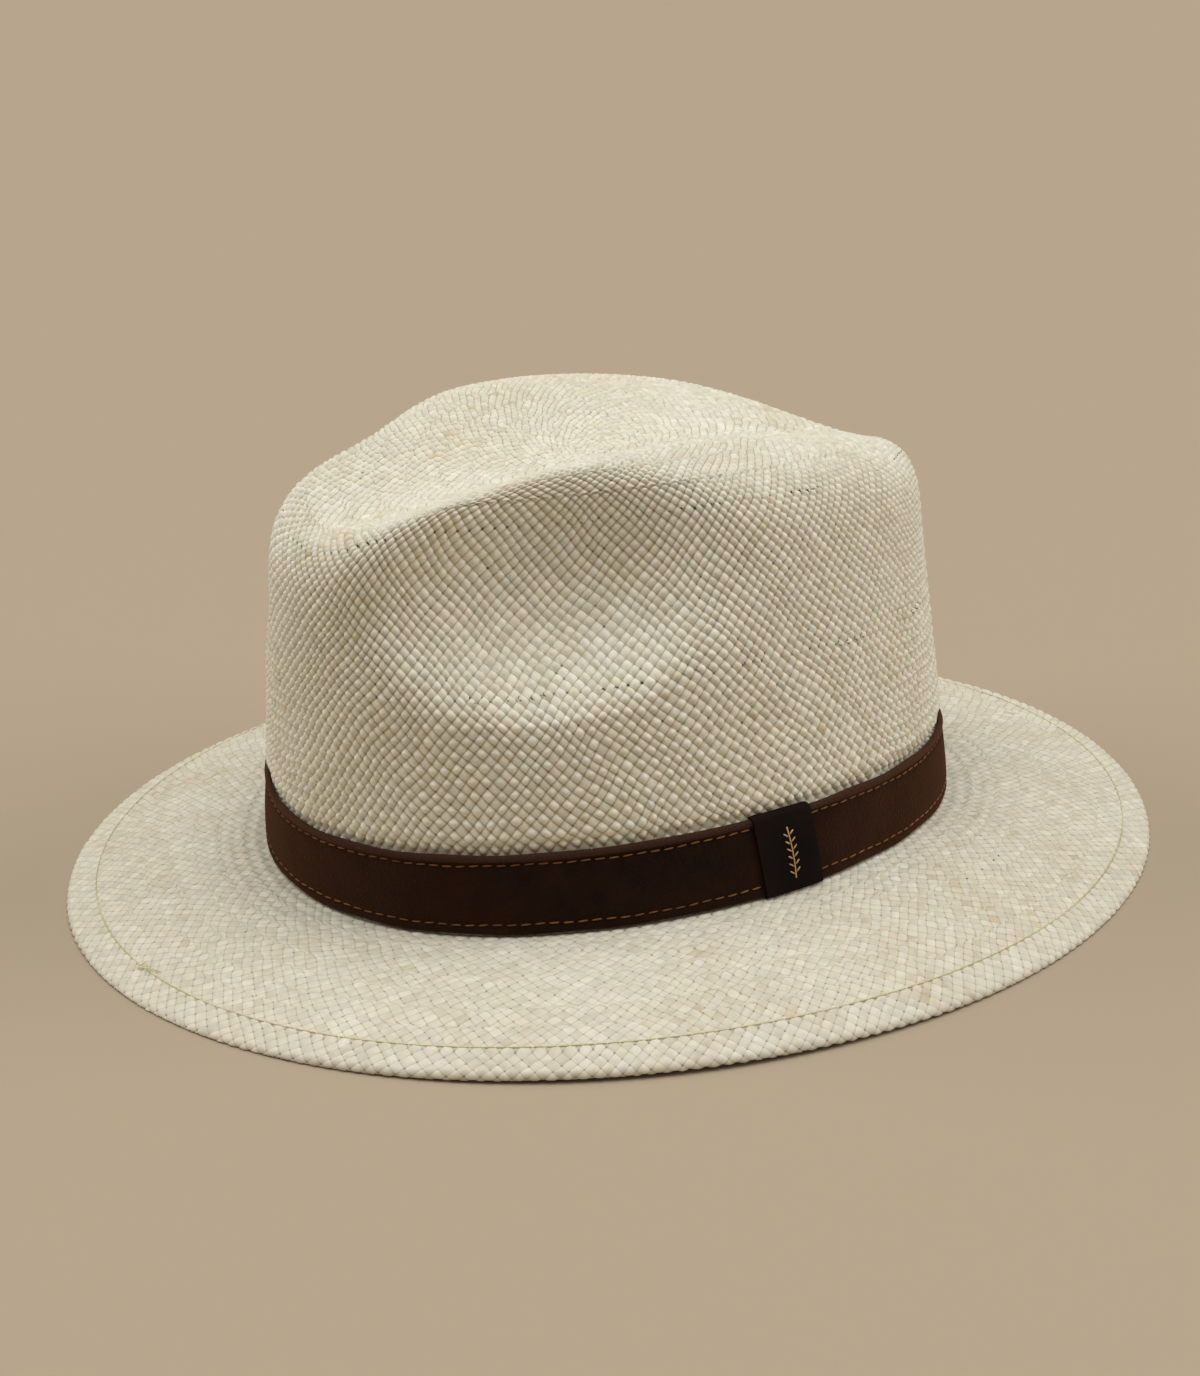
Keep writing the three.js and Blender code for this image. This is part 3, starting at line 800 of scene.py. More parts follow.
    def build_brim(self) -> list[Piece]:
        """The brim from the hem to the band line, with strands dropped at each ring inwards."""
        count = len(self.brim_strands)
        zones = []
        for number, strands in enumerate(self.brim_strands):
            high = -self.brim_span * number / count if number else self.brim_tuck
            low = -self.brim_span * (number + 1) / count + (self.join if number < count - 1 else 0)
            zones.append(Zone(strands, low, high, (high - low) / self.brim_row, self.brim_relief,
                              self.brim_pits, sealed=(number == count - 1, number == 0)))
        zones.reverse()
        outer = self.woven(zones, self.brim_surface, 4, False)
        inner = self.woven(zones, self.brim_surface, 2, True)
        cuts = [(0, 0), (3, 0.5), (count - 1, 1)]
        names = ("straw_brim_outer", "straw_brim_inner")
        return [self.shell(name, self.course(outer, first, last), self.course(inner, first, last))
                for name, first, last in zip(names, cuts, cuts[1:])]

    def build_hem(self) -> Piece:
        """The folded hem, woven from the stitch line over the edge and back under to it."""
        around = math.pi * self.hem_radius
        flat = self.hem_width - self.hem_radius
        zone = Zone(self.hem_strands, -around - flat, flat, (around + 2 * flat) / self.hem_row,
                    self.hem_relief, self.hem_pits, sealed=(True, True))
        skin = WovenZone(zone, self.hem_surface, 4, self.random)
        patch = Patch()
        low, high = skin.lay(patch)
        zip_rings(patch, high, low, False)
        return patch.build("straw_hem")


# ---- Flat modelling --------------------------------------------------------------------------

class Axis(Enum):
    """The directions that a piece modelled flat is cut or repeated along."""

    ALONG = 0
    UP = 2


def start_clean() -> None:
    """Deselects everything, so that the next operator acts on its own piece only."""
    if bpy.context.object and bpy.context.object.mode != "OBJECT":
        bpy.ops.object.mode_set(mode="OBJECT")
    bpy.ops.object.select_all(action="DESELECT")


def make_active(piece: Piece) -> None:
    """Makes a piece the only selected one."""
    start_clean()
    piece.select_set(True)
    bpy.context.view_layer.objects.active = piece


def select_edges(piece: Piece, axis: Axis) -> None:
    """Selects the edges of a piece in edit mode that run along one axis."""
    bpy.ops.object.mode_set(mode="OBJECT")
    mesh = piece.data
    for group in (mesh.vertices, mesh.edges, mesh.polygons):
        group.foreach_set("select", np.zeros(len(group), bool))
    for edge in mesh.edges:
        a, b = (mesh.vertices[number].co for number in edge.vertices)
        step = np.abs(np.array(a - b))
        edge.select = bool(step[axis.value] > 0.999 * np.linalg.norm(step))
    bpy.ops.object.mode_set(mode="EDIT")
    bpy.context.tool_settings.mesh_select_mode = (False, True, False)


def flat_bar(name: str, size: tuple, cuts: tuple, bevel: float, segments: int = 2) -> Piece:
    """A bar modelled flat: x along, y through from its outer face, z up from its foot.

    Args:
        name: the piece's name.
        size: length, thickness and height in millimetres.
        cuts: how many times it is cut along and up.
        bevel: radius of its long edges.
        segments: faces round each bevel.
    Returns:
        The new piece, with its flat places in millimetres kept as its UV map.
    """
    start_clean()
    bpy.ops.mesh.primitive_cube_add(size=1, location=[half * MM / 2 for half in size])
    piece = bpy.context.object
    piece.name = piece.data.name = name
    piece.scale = [side * MM for side in size]
    bpy.ops.object.transform_apply(location=True, rotation=True, scale=True)
    select_edges(piece, Axis.ALONG)
    if bevel:
        bpy.ops.mesh.bevel(offset=bevel * MM, segments=segments, affect="EDGES")
        select_edges(piece, Axis.ALONG)
    bpy.ops.mesh.subdivide(number_cuts=cuts[0])
    if cuts[1]:
        select_edges(piece, Axis.UP)
        bpy.ops.mesh.subdivide(number_cuts=cuts[1])
    bpy.ops.object.mode_set(mode="OBJECT")
    keep_flat_map(piece)
    return piece


def keep_flat_map(piece: Piece) -> None:
    """Writes a piece's flat places, along and up in centimetres, as its UV map."""
    mesh = piece.data
    places = read_points(piece)
    corners = np.zeros(len(mesh.loops), int)
    mesh.loops.foreach_get("vertex_index", corners)
    layer = mesh.uv_layers[0] if mesh.uv_layers else mesh.uv_layers.new(name="flat")
    layer.name = "flat"
    layer.data.foreach_set("uv", (places[corners][:, [0, 2]] / 10).astype(np.float32).ravel())


def read_points(piece: Piece) -> Array:
    """A piece's points in millimetres."""
    points = np.zeros(len(piece.data.vertices) * 3)
    piece.data.vertices.foreach_get("co", points)
    return points.reshape(-1, 3) / MM


def write_points(piece: Piece, points: Array) -> None:
    """Moves a piece's points to places in millimetres."""
    piece.data.vertices.foreach_set("co", (points * MM).ravel())
    piece.data.update()


def smooth(piece: Piece, degrees: float = 50) -> None:
    """Shades a piece smooth, with its sharp edges kept."""
    make_active(piece)
    bpy.ops.object.shade_smooth_by_angle(angle=math.radians(degrees))


def join(pieces: list[Piece], name: str) -> Piece:
    """Joins pieces into the first one and names it."""
    make_active(pieces[0])
    for piece in pieces[1:]:
        piece.select_set(True)
    if len(pieces) > 1:
        bpy.ops.object.join()
    pieces[0].name = pieces[0].data.name = name
    return pieces[0]


def row_of(piece: Piece, count: int, pitch: float, axis: Axis = Axis.ALONG) -> None:
    """Repeats a piece in a row with an array modifier, which is applied.

    Args:
        piece: the piece modelled once.
        count: how many there are in all.
        pitch: from one to the next, in millimetres.
        axis: the direction of the row.
    """
    make_active(piece)
    row = piece.modifiers.new("row", "ARRAY")
    row.count = count
    row.use_relative_offset = False
    row.use_constant_offset = True
    offset = [0.0, 0.0, 0.0]
    offset[axis.value] = pitch * MM
    row.constant_offset_displace = offset
    bpy.ops.object.modifier_apply(modifier=row.name)


def stitch(name: str, length: float, width: float, height: float, lean: float = 0.0) -> Piece:
    """One plump stitch of thread, with its near end at x = 0.

    Args:
        name: the piece's name.
        length: from end to end.
        width: across, in z.
        height: off the cloth, in y.
        lean: turn in degrees about y.
    Returns:
        The new piece.
    """
    start_clean()
    bpy.ops.mesh.primitive_uv_sphere_add(segments=8, ring_count=6, radius=0.5, rotation=(0, math.pi / 2, 0))
    piece = bpy.context.object
    bpy.ops.object.transform_apply(location=False, rotation=True, scale=False)
    piece.name = piece.data.name = name
    points = read_points(piece) * MM
    points[:, 0] = np.sign(points[:, 0]) * (np.abs(points[:, 0]) * 2) ** 0.7 / 2
    points = points * np.array([length, height, width])
    turn = math.radians(lean)
    turned = points.copy()
    turned[:, 0] = points[:, 0] * math.cos(turn) - points[:, 2] * math.sin(turn) + length / 2
    turned[:, 2] = points[:, 0] * math.sin(turn) + points[:, 2] * math.cos(turn)
    write_points(piece, turned)
    return piece


@dataclass
class BandPath:
    """Arc length round one layer of the hat, so that flat lengths stay true when wrapped."""

    form: HatForm
    start: float
    inset: float = 0.0
    samples: int = 720

    def __post_init__(self) -> None:
        """Measures once round the layer."""
        self.angles = self.start + np.linspace(0, FULL_TURN, self.samples + 1)
        level = np.zeros(self.samples + 1)
        points = self.form.layer(self.angles, level + 5, level + self.inset)
        steps = np.linalg.norm(np.diff(points, axis=0), axis=1)
        self.lengths = np.concatenate([[0], np.cumsum(steps)])

    @property
    def girth(self) -> float:
        """Length once round."""
        return float(self.lengths[-1])

    def angle(self, length: Array) -> Array:
        """Angles at lengths from the start, which may run a little past either end."""
        low = self.start + length * FULL_TURN / self.girth
        inside = np.interp(length, self.lengths, self.angles)
        return np.where((length >= 0) & (length <= self.girth), inside, low)

    def wrap(self, piece: Piece, along: float, inset: float, up: float) -> None:
        """Wraps a flat piece round the hat.

        Args:
            piece: the piece modelled flat.
            along: length from the path's start to the piece's x = 0.
            inset: inset of the piece's y = 0 from the band's face.
            up: height of the piece's z = 0 over the band line.
        """
        points = read_points(piece)
        write_points(piece, self.form.layer(self.angle(points[:, 0] + along), points[:, 2] + up,
                                            points[:, 1] + inset))


# ---- Band, stitching and keeper --------------------------------------------------------------

@dataclass
class SuedeBand:
    """The suede band round the crown, its two rows of stitching, and the ribbon keeper."""

    form: HatForm
    thickness: float = 0.9
    height: float = HatForm.band_height
    butt_gap: float = 0.4
    swell: float = 0.35
    groove_depth: float = 0.3
    groove_width: float = 0.55
    wave: float = 0.1
    edge_wobble: float = 0.12
    roll: float = 0.5
    roll_height: float = 1.9
    stitch_heights: tuple = (2.6, 18.0)
    stitch_pitch: float = 3.7
    stitch_length: float = 2.75
    stitch_width: float = 0.44
    keeper_angle: float = -5.7
    keeper_width: float = 18.0
    keeper_thickness: float = 0.55
    keeper_front: float = -1.05
    keeper_back: float = 1.55
    keeper_clear: float = 0.6
    rib_pitch: float = 0.85
    rib_depth: float = 0.16
    sprig_foot: float = 3.2
    sprig_tip_in: float = 3.6
    sprig_bend: float = 0.45
    leaf_pairs: int = 6
    leaf_length: float = 1.7

    def __post_init__(self) -> None:
        """Starts the band's path at the middle of the keeper."""
        self.path = BandPath(self.form, math.radians(self.keeper_angle))

    def face(self, height: Array, along: Array) -> Array:
        """How far the band's outer face stands out from its flat shape.

        Args:
            height: heights over the band's foot.
            along: lengths round the band.
        Returns:
            Distances outwards.
        """
        middle = (height - self.height / 2) / (self.height / 2)
        out = self.swell * (1 - middle**2)
        for at in self.stitch_heights:
            out = out - self.groove_depth * np.exp(-(((height - at) / self.groove_width) ** 2))
        rolled = np.clip((height - (self.height - self.roll_height)) / self.roll_height, 0, 1)
        out = out + self.roll * np.sin(rolled * math.pi) ** 0.8
        waves = np.sin(along / 17 + 0.8) * np.sin(along / 7.3 + height / 6)
        return out + self.wave * waves

    def build_band(self) -> Piece:
        """The suede strip, butted behind the keeper."""
        length = self.path.girth - self.butt_gap
        band = flat_bar("suede_band", (length, self.thickness, self.height), (330, 30), 0.3)
        points = read_points(band)
        share = 1 - points[:, 1] / self.thickness
        points[:, 1] -= share * self.face(points[:, 2], points[:, 0])
        edge = np.clip(np.abs(points[:, 2] / self.height * 2 - 1) * 8 - 7, 0, 1)
        wobble = np.sin(points[:, 0] * 1.9) + np.sin(points[:, 0] * 0.83 + 1)
        points[:, 2] += edge * self.edge_wobble * wobble
        write_points(band, points)
        self.path.wrap(band, self.butt_gap / 2, 0, 0)
        smooth(band, 60)
        return band

    def build_stitching(self, name: str, height: float) -> Piece:
        """One row of stitches round the band, from one side of the keeper to the other."""
        clear = self.keeper_width / 2 + self.keeper_clear
        run = self.path.girth - 2 * clear
        count = int(run / self.stitch_pitch)
        row = stitch(name, self.stitch_length, self.stitch_width, 0.55, lean=3)
        row_of(row, count, run / count)
        points = read_points(row)
        points[:, 1] -= self.face(np.full(len(points), height), points[:, 0] + clear) + 0.1
        points[:, 2] += 0.14 * np.sin(points[:, 0] / 9) + 0.08 * np.sin(points[:, 0] / 2.3)
        write_points(row, points)
        self.path.wrap(row, clear, 0, height)
        smooth(row, 80)
        return row

    def loop_path(self, length: Array) -> tuple[Array, Array]:
        """The keeper's loop in section: up the front, over, down behind and under.

        Args:
            length: lengths along the loop from the middle of its foot.
        Returns:
            Places as inset and height, and the direction inwards at each.
        """
        front, back, top = self.keeper_front, self.keeper_back, self.height
        corners = [(0.2, -0.5), (front + 0.5, -0.5), (front, 0.2), (front - 0.12, 7),
                   (front - 0.12, top - 7), (front - 0.05, top - 0.1), (front + 0.55, top + 0.55),
                   (back - 0.4, top + 0.6), (back, top), (back, 0.3), (0.6, -0.5), (0.2, -0.5)]
        route = np.array(corners)
        steps = np.concatenate([[0], np.cumsum(np.linalg.norm(np.diff(route, axis=0), axis=1))])
        fine = np.linspace(0, steps[-1], 400)
        smooth_route = np.stack([np.interp(fine, steps, route[:, n]) for n in (0, 1)], -1)
        for _ in range(6):
            smooth_route[1:-1] = (smooth_route[2:] + smooth_route[:-2]) / 2
        share = length / np.max(length) * fine[-1]
        place = np.stack([np.interp(share, fine, smooth_route[:, n]) for n in (0, 1)], -1)
        ahead = np.stack([np.interp(share + 0.1, fine, smooth_route[:, n]) -
                          np.interp(share - 0.1, fine, smooth_route[:, n]) for n in (0, 1)], -1)
        ahead = unit(ahead)
        return place, np.stack([ahead[:, 1], -ahead[:, 0]], -1)

    def build_keeper(self) -> Piece:
        """The ribbed ribbon loop that covers the band's butted ends."""
        girth = 2 * (self.height + 1.1) + 2 * (self.keeper_back - self.keeper_front)
        size = (self.keeper_width, self.keeper_thickness, girth)
        keeper = flat_bar("keeper_ribbon", size, (10, 419), 0.12)
        points = read_points(keeper)
        share = 1 - points[:, 1] / self.keeper_thickness
        edge = np.abs(points[:, 0] / self.keeper_width * 2 - 1)
        rib = np.abs(np.sin(points[:, 2] * math.pi / self.rib_pitch)) * np.clip((1 - edge) * 12, 0, 1)
        points[:, 1] -= share * (self.rib_depth * rib + 0.06 * (edge > 0.9))
        place, inward = self.loop_path(points[:, 2])
        angle = self.path.angle(points[:, 0] - self.keeper_width / 2)
        write_points(keeper, self.form.layer(angle, place[:, 1] + points[:, 1] * inward[:, 1],
                                             place[:, 0] + points[:, 1] * inward[:, 0]))
        smooth(keeper, 60)
        return keeper

    def build_motif(self) -> Piece:
        """A plain stitched sprig in gold: a stem with paired leaves, on the keeper's front."""
        low = self.sprig_foot
        rise = self.height - self.sprig_tip_in - low
        stem = flat_bar("keeper_sprig", (0.38, 0.3, rise), (1, 22), 0.1)
        points = read_points(stem)
        points[:, 0] += self.sprig_bend * np.sin(points[:, 2] / rise * math.pi) - 0.25
        write_points(stem, points)
        parts = [stem]
        for number in range(self.leaf_pairs * 2):
            side = 1 if number % 2 else -1
            share = (number // 2 + (0.25 if side > 0 else 0)) / (self.leaf_pairs - 0.75)
            up = mix(1.6, rise - 1.6, share)
            leaf = stitch(f"leaf_{number}", self.leaf_length, 0.45, 0.34, lean=38)
            points = read_points(leaf)
            points[:, 0] *= side
            points[:, 0] += self.sprig_bend * math.sin(up / rise * math.pi) + side * 0.12
            points[:, 1] += 0.12
            points[:, 2] += up
            write_points(leaf, points)
            if side < 0:
                leaf.data.flip_normals()
            parts.append(leaf)
        sprig = join(parts, "keeper_sprig")
        self.path.wrap(sprig, 0, self.keeper_front - 0.42, low)
        smooth(sprig, 60)
        return sprig


# ---- Inside the head opening -----------------------------------------------------------------

@dataclass
class Sweatband:
    """The leather sweatband, its reed and tape, its stitching, bow and blank label."""

    form: HatForm
    outer: float = 4.1
    thickness: float = 0.9
    low: float = 0.4
    high: float = 33.0
    reed_at: float = 4.95
    reed_height: float = -0.9
    reed_radius: float = 0.65
    bow_half_span: float = 15.0
    bow_height: float = 8.0
    label_from: float = 48.0
    label_to: float = 64.0
    label_height: float = 12.0
    label_level: float = 13.0
    tape_size: tuple = (0.3, 8.6)
    tape_at: float = 3.5
    tape_foot: float = -1.6
    zigzag_pitch: float = 3.2
    zigzag_level: float = 2.6
    seam_pitch: float = 2.1
    seam_stitches: int = 8
    seam_level: float = 15.0

    def __post_init__(self) -> None:
        """Starts the path at the rear seam."""
        self.path = BandPath(self.form, REAR, self.outer)

    @property
    def face(self) -> float:
        """Inset of the leather's inner face."""
        return self.outer + self.thickness

    def build_leather(self) -> Piece:
        """The leather strip, butted at the rear seam, with a slightly turned upper edge."""
        size = (self.path.girth - 0.3, self.thickness, self.high - self.low)
        band = flat_bar("sweatband_leather", size, (260, 16), 0.25)
        points = read_points(band)
        share = points[:, 1] / self.thickness
        up = points[:, 2] / size[2]
        points[:, 1] += 0.3 * share * np.sin(up * math.pi) + 0.45 * np.clip(up * 9 - 8, 0, 1) * share
        points[:, 1] += 0.14 * np.sin(points[:, 0] / 21) * np.sin(points[:, 0] / 8.7) * share
        points[:, 1] -= 0.25 * np.exp(-(((points[:, 2] - 2.2) / 0.5) ** 2)) * share
        write_points(band, points)
        self.path.wrap(band, 0.15, self.outer, self.low)
        smooth(band, 60)
        return band

    def build_reed(self) -> Piece:
        """The round reed along the leather's lower edge."""
        side = 2 * self.reed_radius
        reed = flat_bar("sweatband_reed_cord", (self.path.girth, side, side), (300, 0), 0.38, 3)
        self.path.wrap(reed, 0, self.reed_at - self.reed_radius, self.reed_height - self.reed_radius)
        smooth(reed, 70)
        return reed

    def build_tape(self) -> Piece:
        """The cotton tape that holds the reed to the straw."""
        tape = flat_bar("reed_binding_tape", (self.path.girth, *self.tape_size), (260, 4), 0.1)
        self.path.wrap(tape, 0, self.tape_at, self.tape_foot)
        smooth(tape, 60)
        return tape

    def build_stitching(self) -> Piece:
        """A zigzag of stitches that sews the leather to the tape."""
        count = int(self.path.girth / self.zigzag_pitch)
        rise = stitch("rise", 2.4, 0.42, 0.4, lean=42)
        fall = stitch("fall", 2.4, 0.42, 0.4, lean=-42)
        points = read_points(fall)
        points[:, 0] += self.zigzag_pitch / 2
        write_points(fall, points)
        row = join([rise, fall], "sweatband_zigzag")
        row_of(row, count, self.path.girth / count)
        self.path.wrap(row, 0, self.face + 0.15, self.zigzag_level)
        smooth(row, 80)
        return row

    def build_seam(self) -> Piece:
        """Cross stitches up the rear seam."""
        rise = stitch("seam_rise", 3.2, 0.5, 0.4, lean=32)
        fall = stitch("seam_fall", 3.2, 0.5, 0.4, lean=-32)
        points = read_points(fall)
        points[:, 1] += 0.2
        write_points(fall, points)
        seam = join([rise, fall], "sweatband_seam_cross_stitch")
        row_of(seam, self.seam_stitches, self.seam_pitch, Axis.UP)
        self.path.wrap(seam, -1.6, self.face + 0.35, self.seam_level)
        smooth(seam, 80)
        return seam

    def build_bow(self) -> Piece:
        """The small ribbon bow at the rear: two puffed loops and a knot."""
        span = 2 * self.bow_half_span
        bow = flat_bar("rear_ribbon_bow", (span, 0.5, 2.0), (48, 8), 0.1)
        points = read_points(bow)
        along = points[:, 0] / self.bow_half_span - 1
        half = np.interp(np.abs(along), [0, 0.12, 0.3, 0.6, 0.85, 1], [1.5, 1.3, 2.6, 3.6, 3.1, 2.2])
        up = points[:, 2] - 1
        puff = np.interp(np.abs(along), [0, 0.12, 0.5, 0.9, 1], [0, 0.1, 0.9, 0.5, 0.1])
        fold = 0.12 * np.cos(up * 7) * (1 - np.abs(along))
        points[:, 1] += puff * np.clip(1 - up**2, 0, 1) + fold * (points[:, 1] / 0.5)
        points[:, 2] = up * half
        write_points(bow, points)
        knot = flat_bar("knot", (4.0, 1.5, 5.0), (6, 6), 0.5, 4)
        points = read_points(knot)
        points[:, 0] += self.bow_half_span - 2
        points[:, 2] -= 2.5
        points[:, 2] *= 1 - 0.12 * np.cos((points[:, 0] - self.bow_half_span) * 1.2)
        write_points(knot, points)
        bow = join([bow, knot], "rear_ribbon_bow")
        self.path.wrap(bow, -self.bow_half_span, self.face + 0.4, self.bow_height)
        smooth(bow, 60)
        return bow

    def build_label(self) -> Piece:
        """The small woven label, blank, its face raised away from its edges."""
        angles = np.radians([self.label_from, self.label_to])
        half = self.path.girth / FULL_TURN * (angles[1] - angles[0]) / 2
        label = flat_bar("blank_size_label", (2 * half, 0.3, self.label_height), (24, 12), 0.1)
        points = read_points(label)
        edge = np.minimum(np.minimum(points[:, 0], 2 * half - points[:, 0]),
                          np.minimum(points[:, 2], self.label_height - points[:, 2]))
        points[:, 1] += np.where(points[:, 1] > 0.15, 0.2 * np.clip(edge / 2, 0, 1), 0)
        write_points(label, points)
        middle = self.path.girth - self.path.girth / FULL_TURN * (REAR - angles.mean())
        self.path.wrap(label, middle - half, self.face + 0.4, self.label_level)
        smooth(label, 60)
        return label


@dataclass
class HemThread:
    """The line of stitches that holds the hem, with its knot and cut ends."""

    form: HatForm
    stitch_in: float = 8.4
    pitch: float = 3.1
    width: float = 0.42
    knot_angle: float = -94.5
    loose_ends: tuple = ((9.0, 20), (6.0, -32), (2.6, 80))

    def place(self, angle: Array, inwards: Array, height: Array) -> Array:
        """Points on the brim by distance in from the edge and height off its face."""
        points = self.form.brim(angle, 1 - inwards / self.form.brim_width(angle))
        points[..., 2] += height
        return points

    def build(self) -> Piece:
        """The stitches all round, sunk in the hem's groove, with a knot at the front."""
        angles = math.radians(self.knot_angle) + np.linspace(0, FULL_TURN, 1441)
        level = np.full(len(angles), self.stitch_in)
        line = self.place(angles, level, 0 * level)
        lengths = np.concatenate([[0], np.cumsum(np.linalg.norm(np.diff(line, axis=0), axis=1))])
        count = int(lengths[-1] / self.pitch)
        row = stitch("hem_stitches", self.pitch * 0.93, self.width, self.width)
        row_of(row, count, lengths[-1] / count)
        parts = [row]
        for number, (reach, turn) in enumerate(self.loose_ends):
            end = stitch(f"thread_end_{number}", reach, 0.4, 0.4, lean=turn)
            points = read_points(end)
            points[:, 1] -= 0.35 + 0.5 * np.sin(np.clip(points[:, 0] / reach, 0, 1) * math.pi)
            write_points(end, points)
            parts.append(end)
        thread = join(parts, "hem_stitches")
        points = read_points(thread)
        angle = np.interp(np.maximum(points[:, 0], 0), lengths, angles)
        write_points(thread, self.place(angle, self.stitch_in + points[:, 2], -points[:, 1] + 0.05))
        smooth(thread, 80)
        return thread


# ---- Finishes --------------------------------------------------------------------------------

@dataclass(frozen=True)
class StrawFinish:
    """Colours and gloss of bleached toquilla straw, with painted shade: shade beside each float, gap in the
    pits.
    """

    warm: tuple = (0.58, 0.47, 0.285, 1)
    cream: tuple = (0.735, 0.69, 0.56, 1)
    pale: tuple = (0.8, 0.78, 0.69, 1)
    # shade is the painted shade for the lines and low ground round each float, gap the painted shade in the
    # pits where four floats meet.
    shade: tuple = (0.33, 0.245, 0.105, 1)
    gap: tuple = (0.045, 0.03, 0.012, 1)
    roughness: float = 0.5
    fibre_bump: float = 0.25


BRIM_STRAW = StrawFinish(warm=(0.52, 0.415, 0.26, 1), cream=(0.64, 0.595, 0.485, 1),
                         pale=(0.705, 0.675, 0.585, 1))


def straw_material(name: str, finish: StrawFinish, gap_share: float) -> bpy.types.Material:
    """Woven straw: each strand its own tone, fine fibres along it, and painted shade in the gaps and pits
    between.

    Args:
        name: the material's name.
        finish: its colours.
        gap_share: how strongly the painted shade darkens the gaps and pits between strands, from 0 to 1.
    Returns:
        The new material.
    """
    material = bpy.data.materials.new(name)
    material.use_nodes = True
    nodes, links = material.node_tree.nodes, material.node_tree.links
    nodes.clear()
    output = nodes.new("ShaderNodeOutputMaterial")
    output.label = "Straw surface"
    output.location = (1500, 0)
    shader = nodes.new("ShaderNodeBsdfPrincipled")
    shader.label = "Dry straw with a soft gloss"
    shader.location = (1200, 0)
    strand_frame = nodes.new("NodeFrame")
    strand_frame.label = "Place on the strand"
    tone_frame = nodes.new("NodeFrame")
    tone_frame.label = "Tone of each strand"
    gap_frame = nodes.new("NodeFrame")
    gap_frame.label = "Shade in the gaps"
    fibre_frame = nodes.new("NodeFrame")
    fibre_frame.label = "Fibres along the strand"

    strands = nodes.new("ShaderNodeUVMap")
    strands.label = "Strand numbers"
    split = nodes.new("ShaderNodeSeparateXYZ")
    split.label = "Falling and rising strand"
    over = nodes.new("ShaderNodeAttribute")
    over.label = "Which strand floats on top"
    along = nodes.new("ShaderNodeMix")
    along.label = "Length along the float"
    across = nodes.new("ShaderNodeMix")
    across.label = "Place across the float"
    near_side = nodes.new("ShaderNodeMath")
    near_side.label = "Off the middle of the strand"
    side_edge = nodes.new("ShaderNodeMath")
    side_edge.label = "Distance from the strand's middle"
    near_end = nodes.new("ShaderNodeMath")
    near_end.label = "Off the middle of the float"
    end_edge = nodes.new("ShaderNodeMath")
    end_edge.label = "Distance from the float's middle"
    for node, x, y in ((strands, -1500, 200), (split, -1300, 200), (over, -1500, 0), (along, -1100, 260),
                       (across, -1100, 60), (near_side, -900, 60), (side_edge, -740, 60),
                       (near_end, -900, 260), (end_edge, -740, 260)):
        node.parent = strand_frame
        node.location = (x, y)

    tone = nodes.new("ShaderNodeAttribute")
    tone.label = "Tone of this strand"
    patches = nodes.new("ShaderNodeTexNoise")
    patches.label = "Slow drift of bleaching"
    place = nodes.new("ShaderNodeTexCoord")
    place.label = "Place on the hat"
    blend = nodes.new("ShaderNodeMath")
    blend.label = "Tone with the drift"
    colours = nodes.new("ShaderNodeValToRGB")
    colours.label = "Tan, cream and pale strands"
    tints = nodes.new("ShaderNodeTexNoise")
    tints.label = "Pink and green tints"
    tint_colours = nodes.new("ShaderNodeValToRGB")
    tint_colours.label = "Tint colours"
    tinted = nodes.new("ShaderNodeMix")
    tinted.label = "Tinted straw"
    for node, x, y in ((tone, -740, 520), (patches, -740, 760), (place, -940, 760), (blend, -540, 600),
                       (colours, -340, 600), (tints, -540, 860), (tint_colours, -340, 860),
                       (tinted, -20, 640)):
        node.parent = tone_frame
        node.location = (x, y)

    # Painted shade: the lines beside each float and the low ground round it take the golden shade colour, and
    # the pits where four floats meet take the dark gap colour, where the weave's own shade falls.
    depth = nodes.new("ShaderNodeAttribute")
    depth.label = "Depth in the weave"
    deep = nodes.new("ShaderNodeMapRange")
    deep.label = "Pits between four floats"
    side_line = nodes.new("ShaderNodeMapRange")
    side_line.label = "Line beside the strand"
    end_line = nodes.new("ShaderNodeMapRange")
    end_line.label = "Line at the float's end"
    lines = nodes.new("ShaderNodeMath")
    lines.label = "Either line"
    low = nodes.new("ShaderNodeMapRange")
    low.label = "Low ground round each float"
    shadows = nodes.new("ShaderNodeMath")
    shadows.label = "Lines and low ground"
    line_shade_strength = nodes.new("ShaderNodeMath")
    line_shade_strength.label = "Strength of the lines"
    # Noise that makes the painted shade in the pits stronger where the weave is more open.
    tightness = nodes.new("ShaderNodeTexNoise")
    tightness.label = "Tight and loose places"
    pit_shade_amount = nodes.new("ShaderNodeMapRange")
    pit_shade_amount.label = "How open the weave is"
    pit_shade_strength = nodes.new("ShaderNodeMath")
    pit_shade_strength.label = "Strength of the pits"
    shaded = nodes.new("ShaderNodeMix")
    shaded.label = "Straw shaded beside each strand"
    pit_shaded = nodes.new("ShaderNodeMix")
    pit_shaded.label = "Straw darkened in the pits"
    for node, x, y in ((depth, -540, -100), (deep, -340, -100), (side_line, -540, 80),
                       (end_line, -540, 280), (lines, -340, 180), (low, -340, 0), (shadows, -240, 120),
                       (line_shade_strength, -140, 180), (tightness, -340, -280), (pit_shade_amount, -140, -200),
                       (pit_shade_strength, 40, -40), (shaded, 640, 300), (pit_shaded, 860, 300)):
        node.parent = gap_frame
        node.location = (x, y)

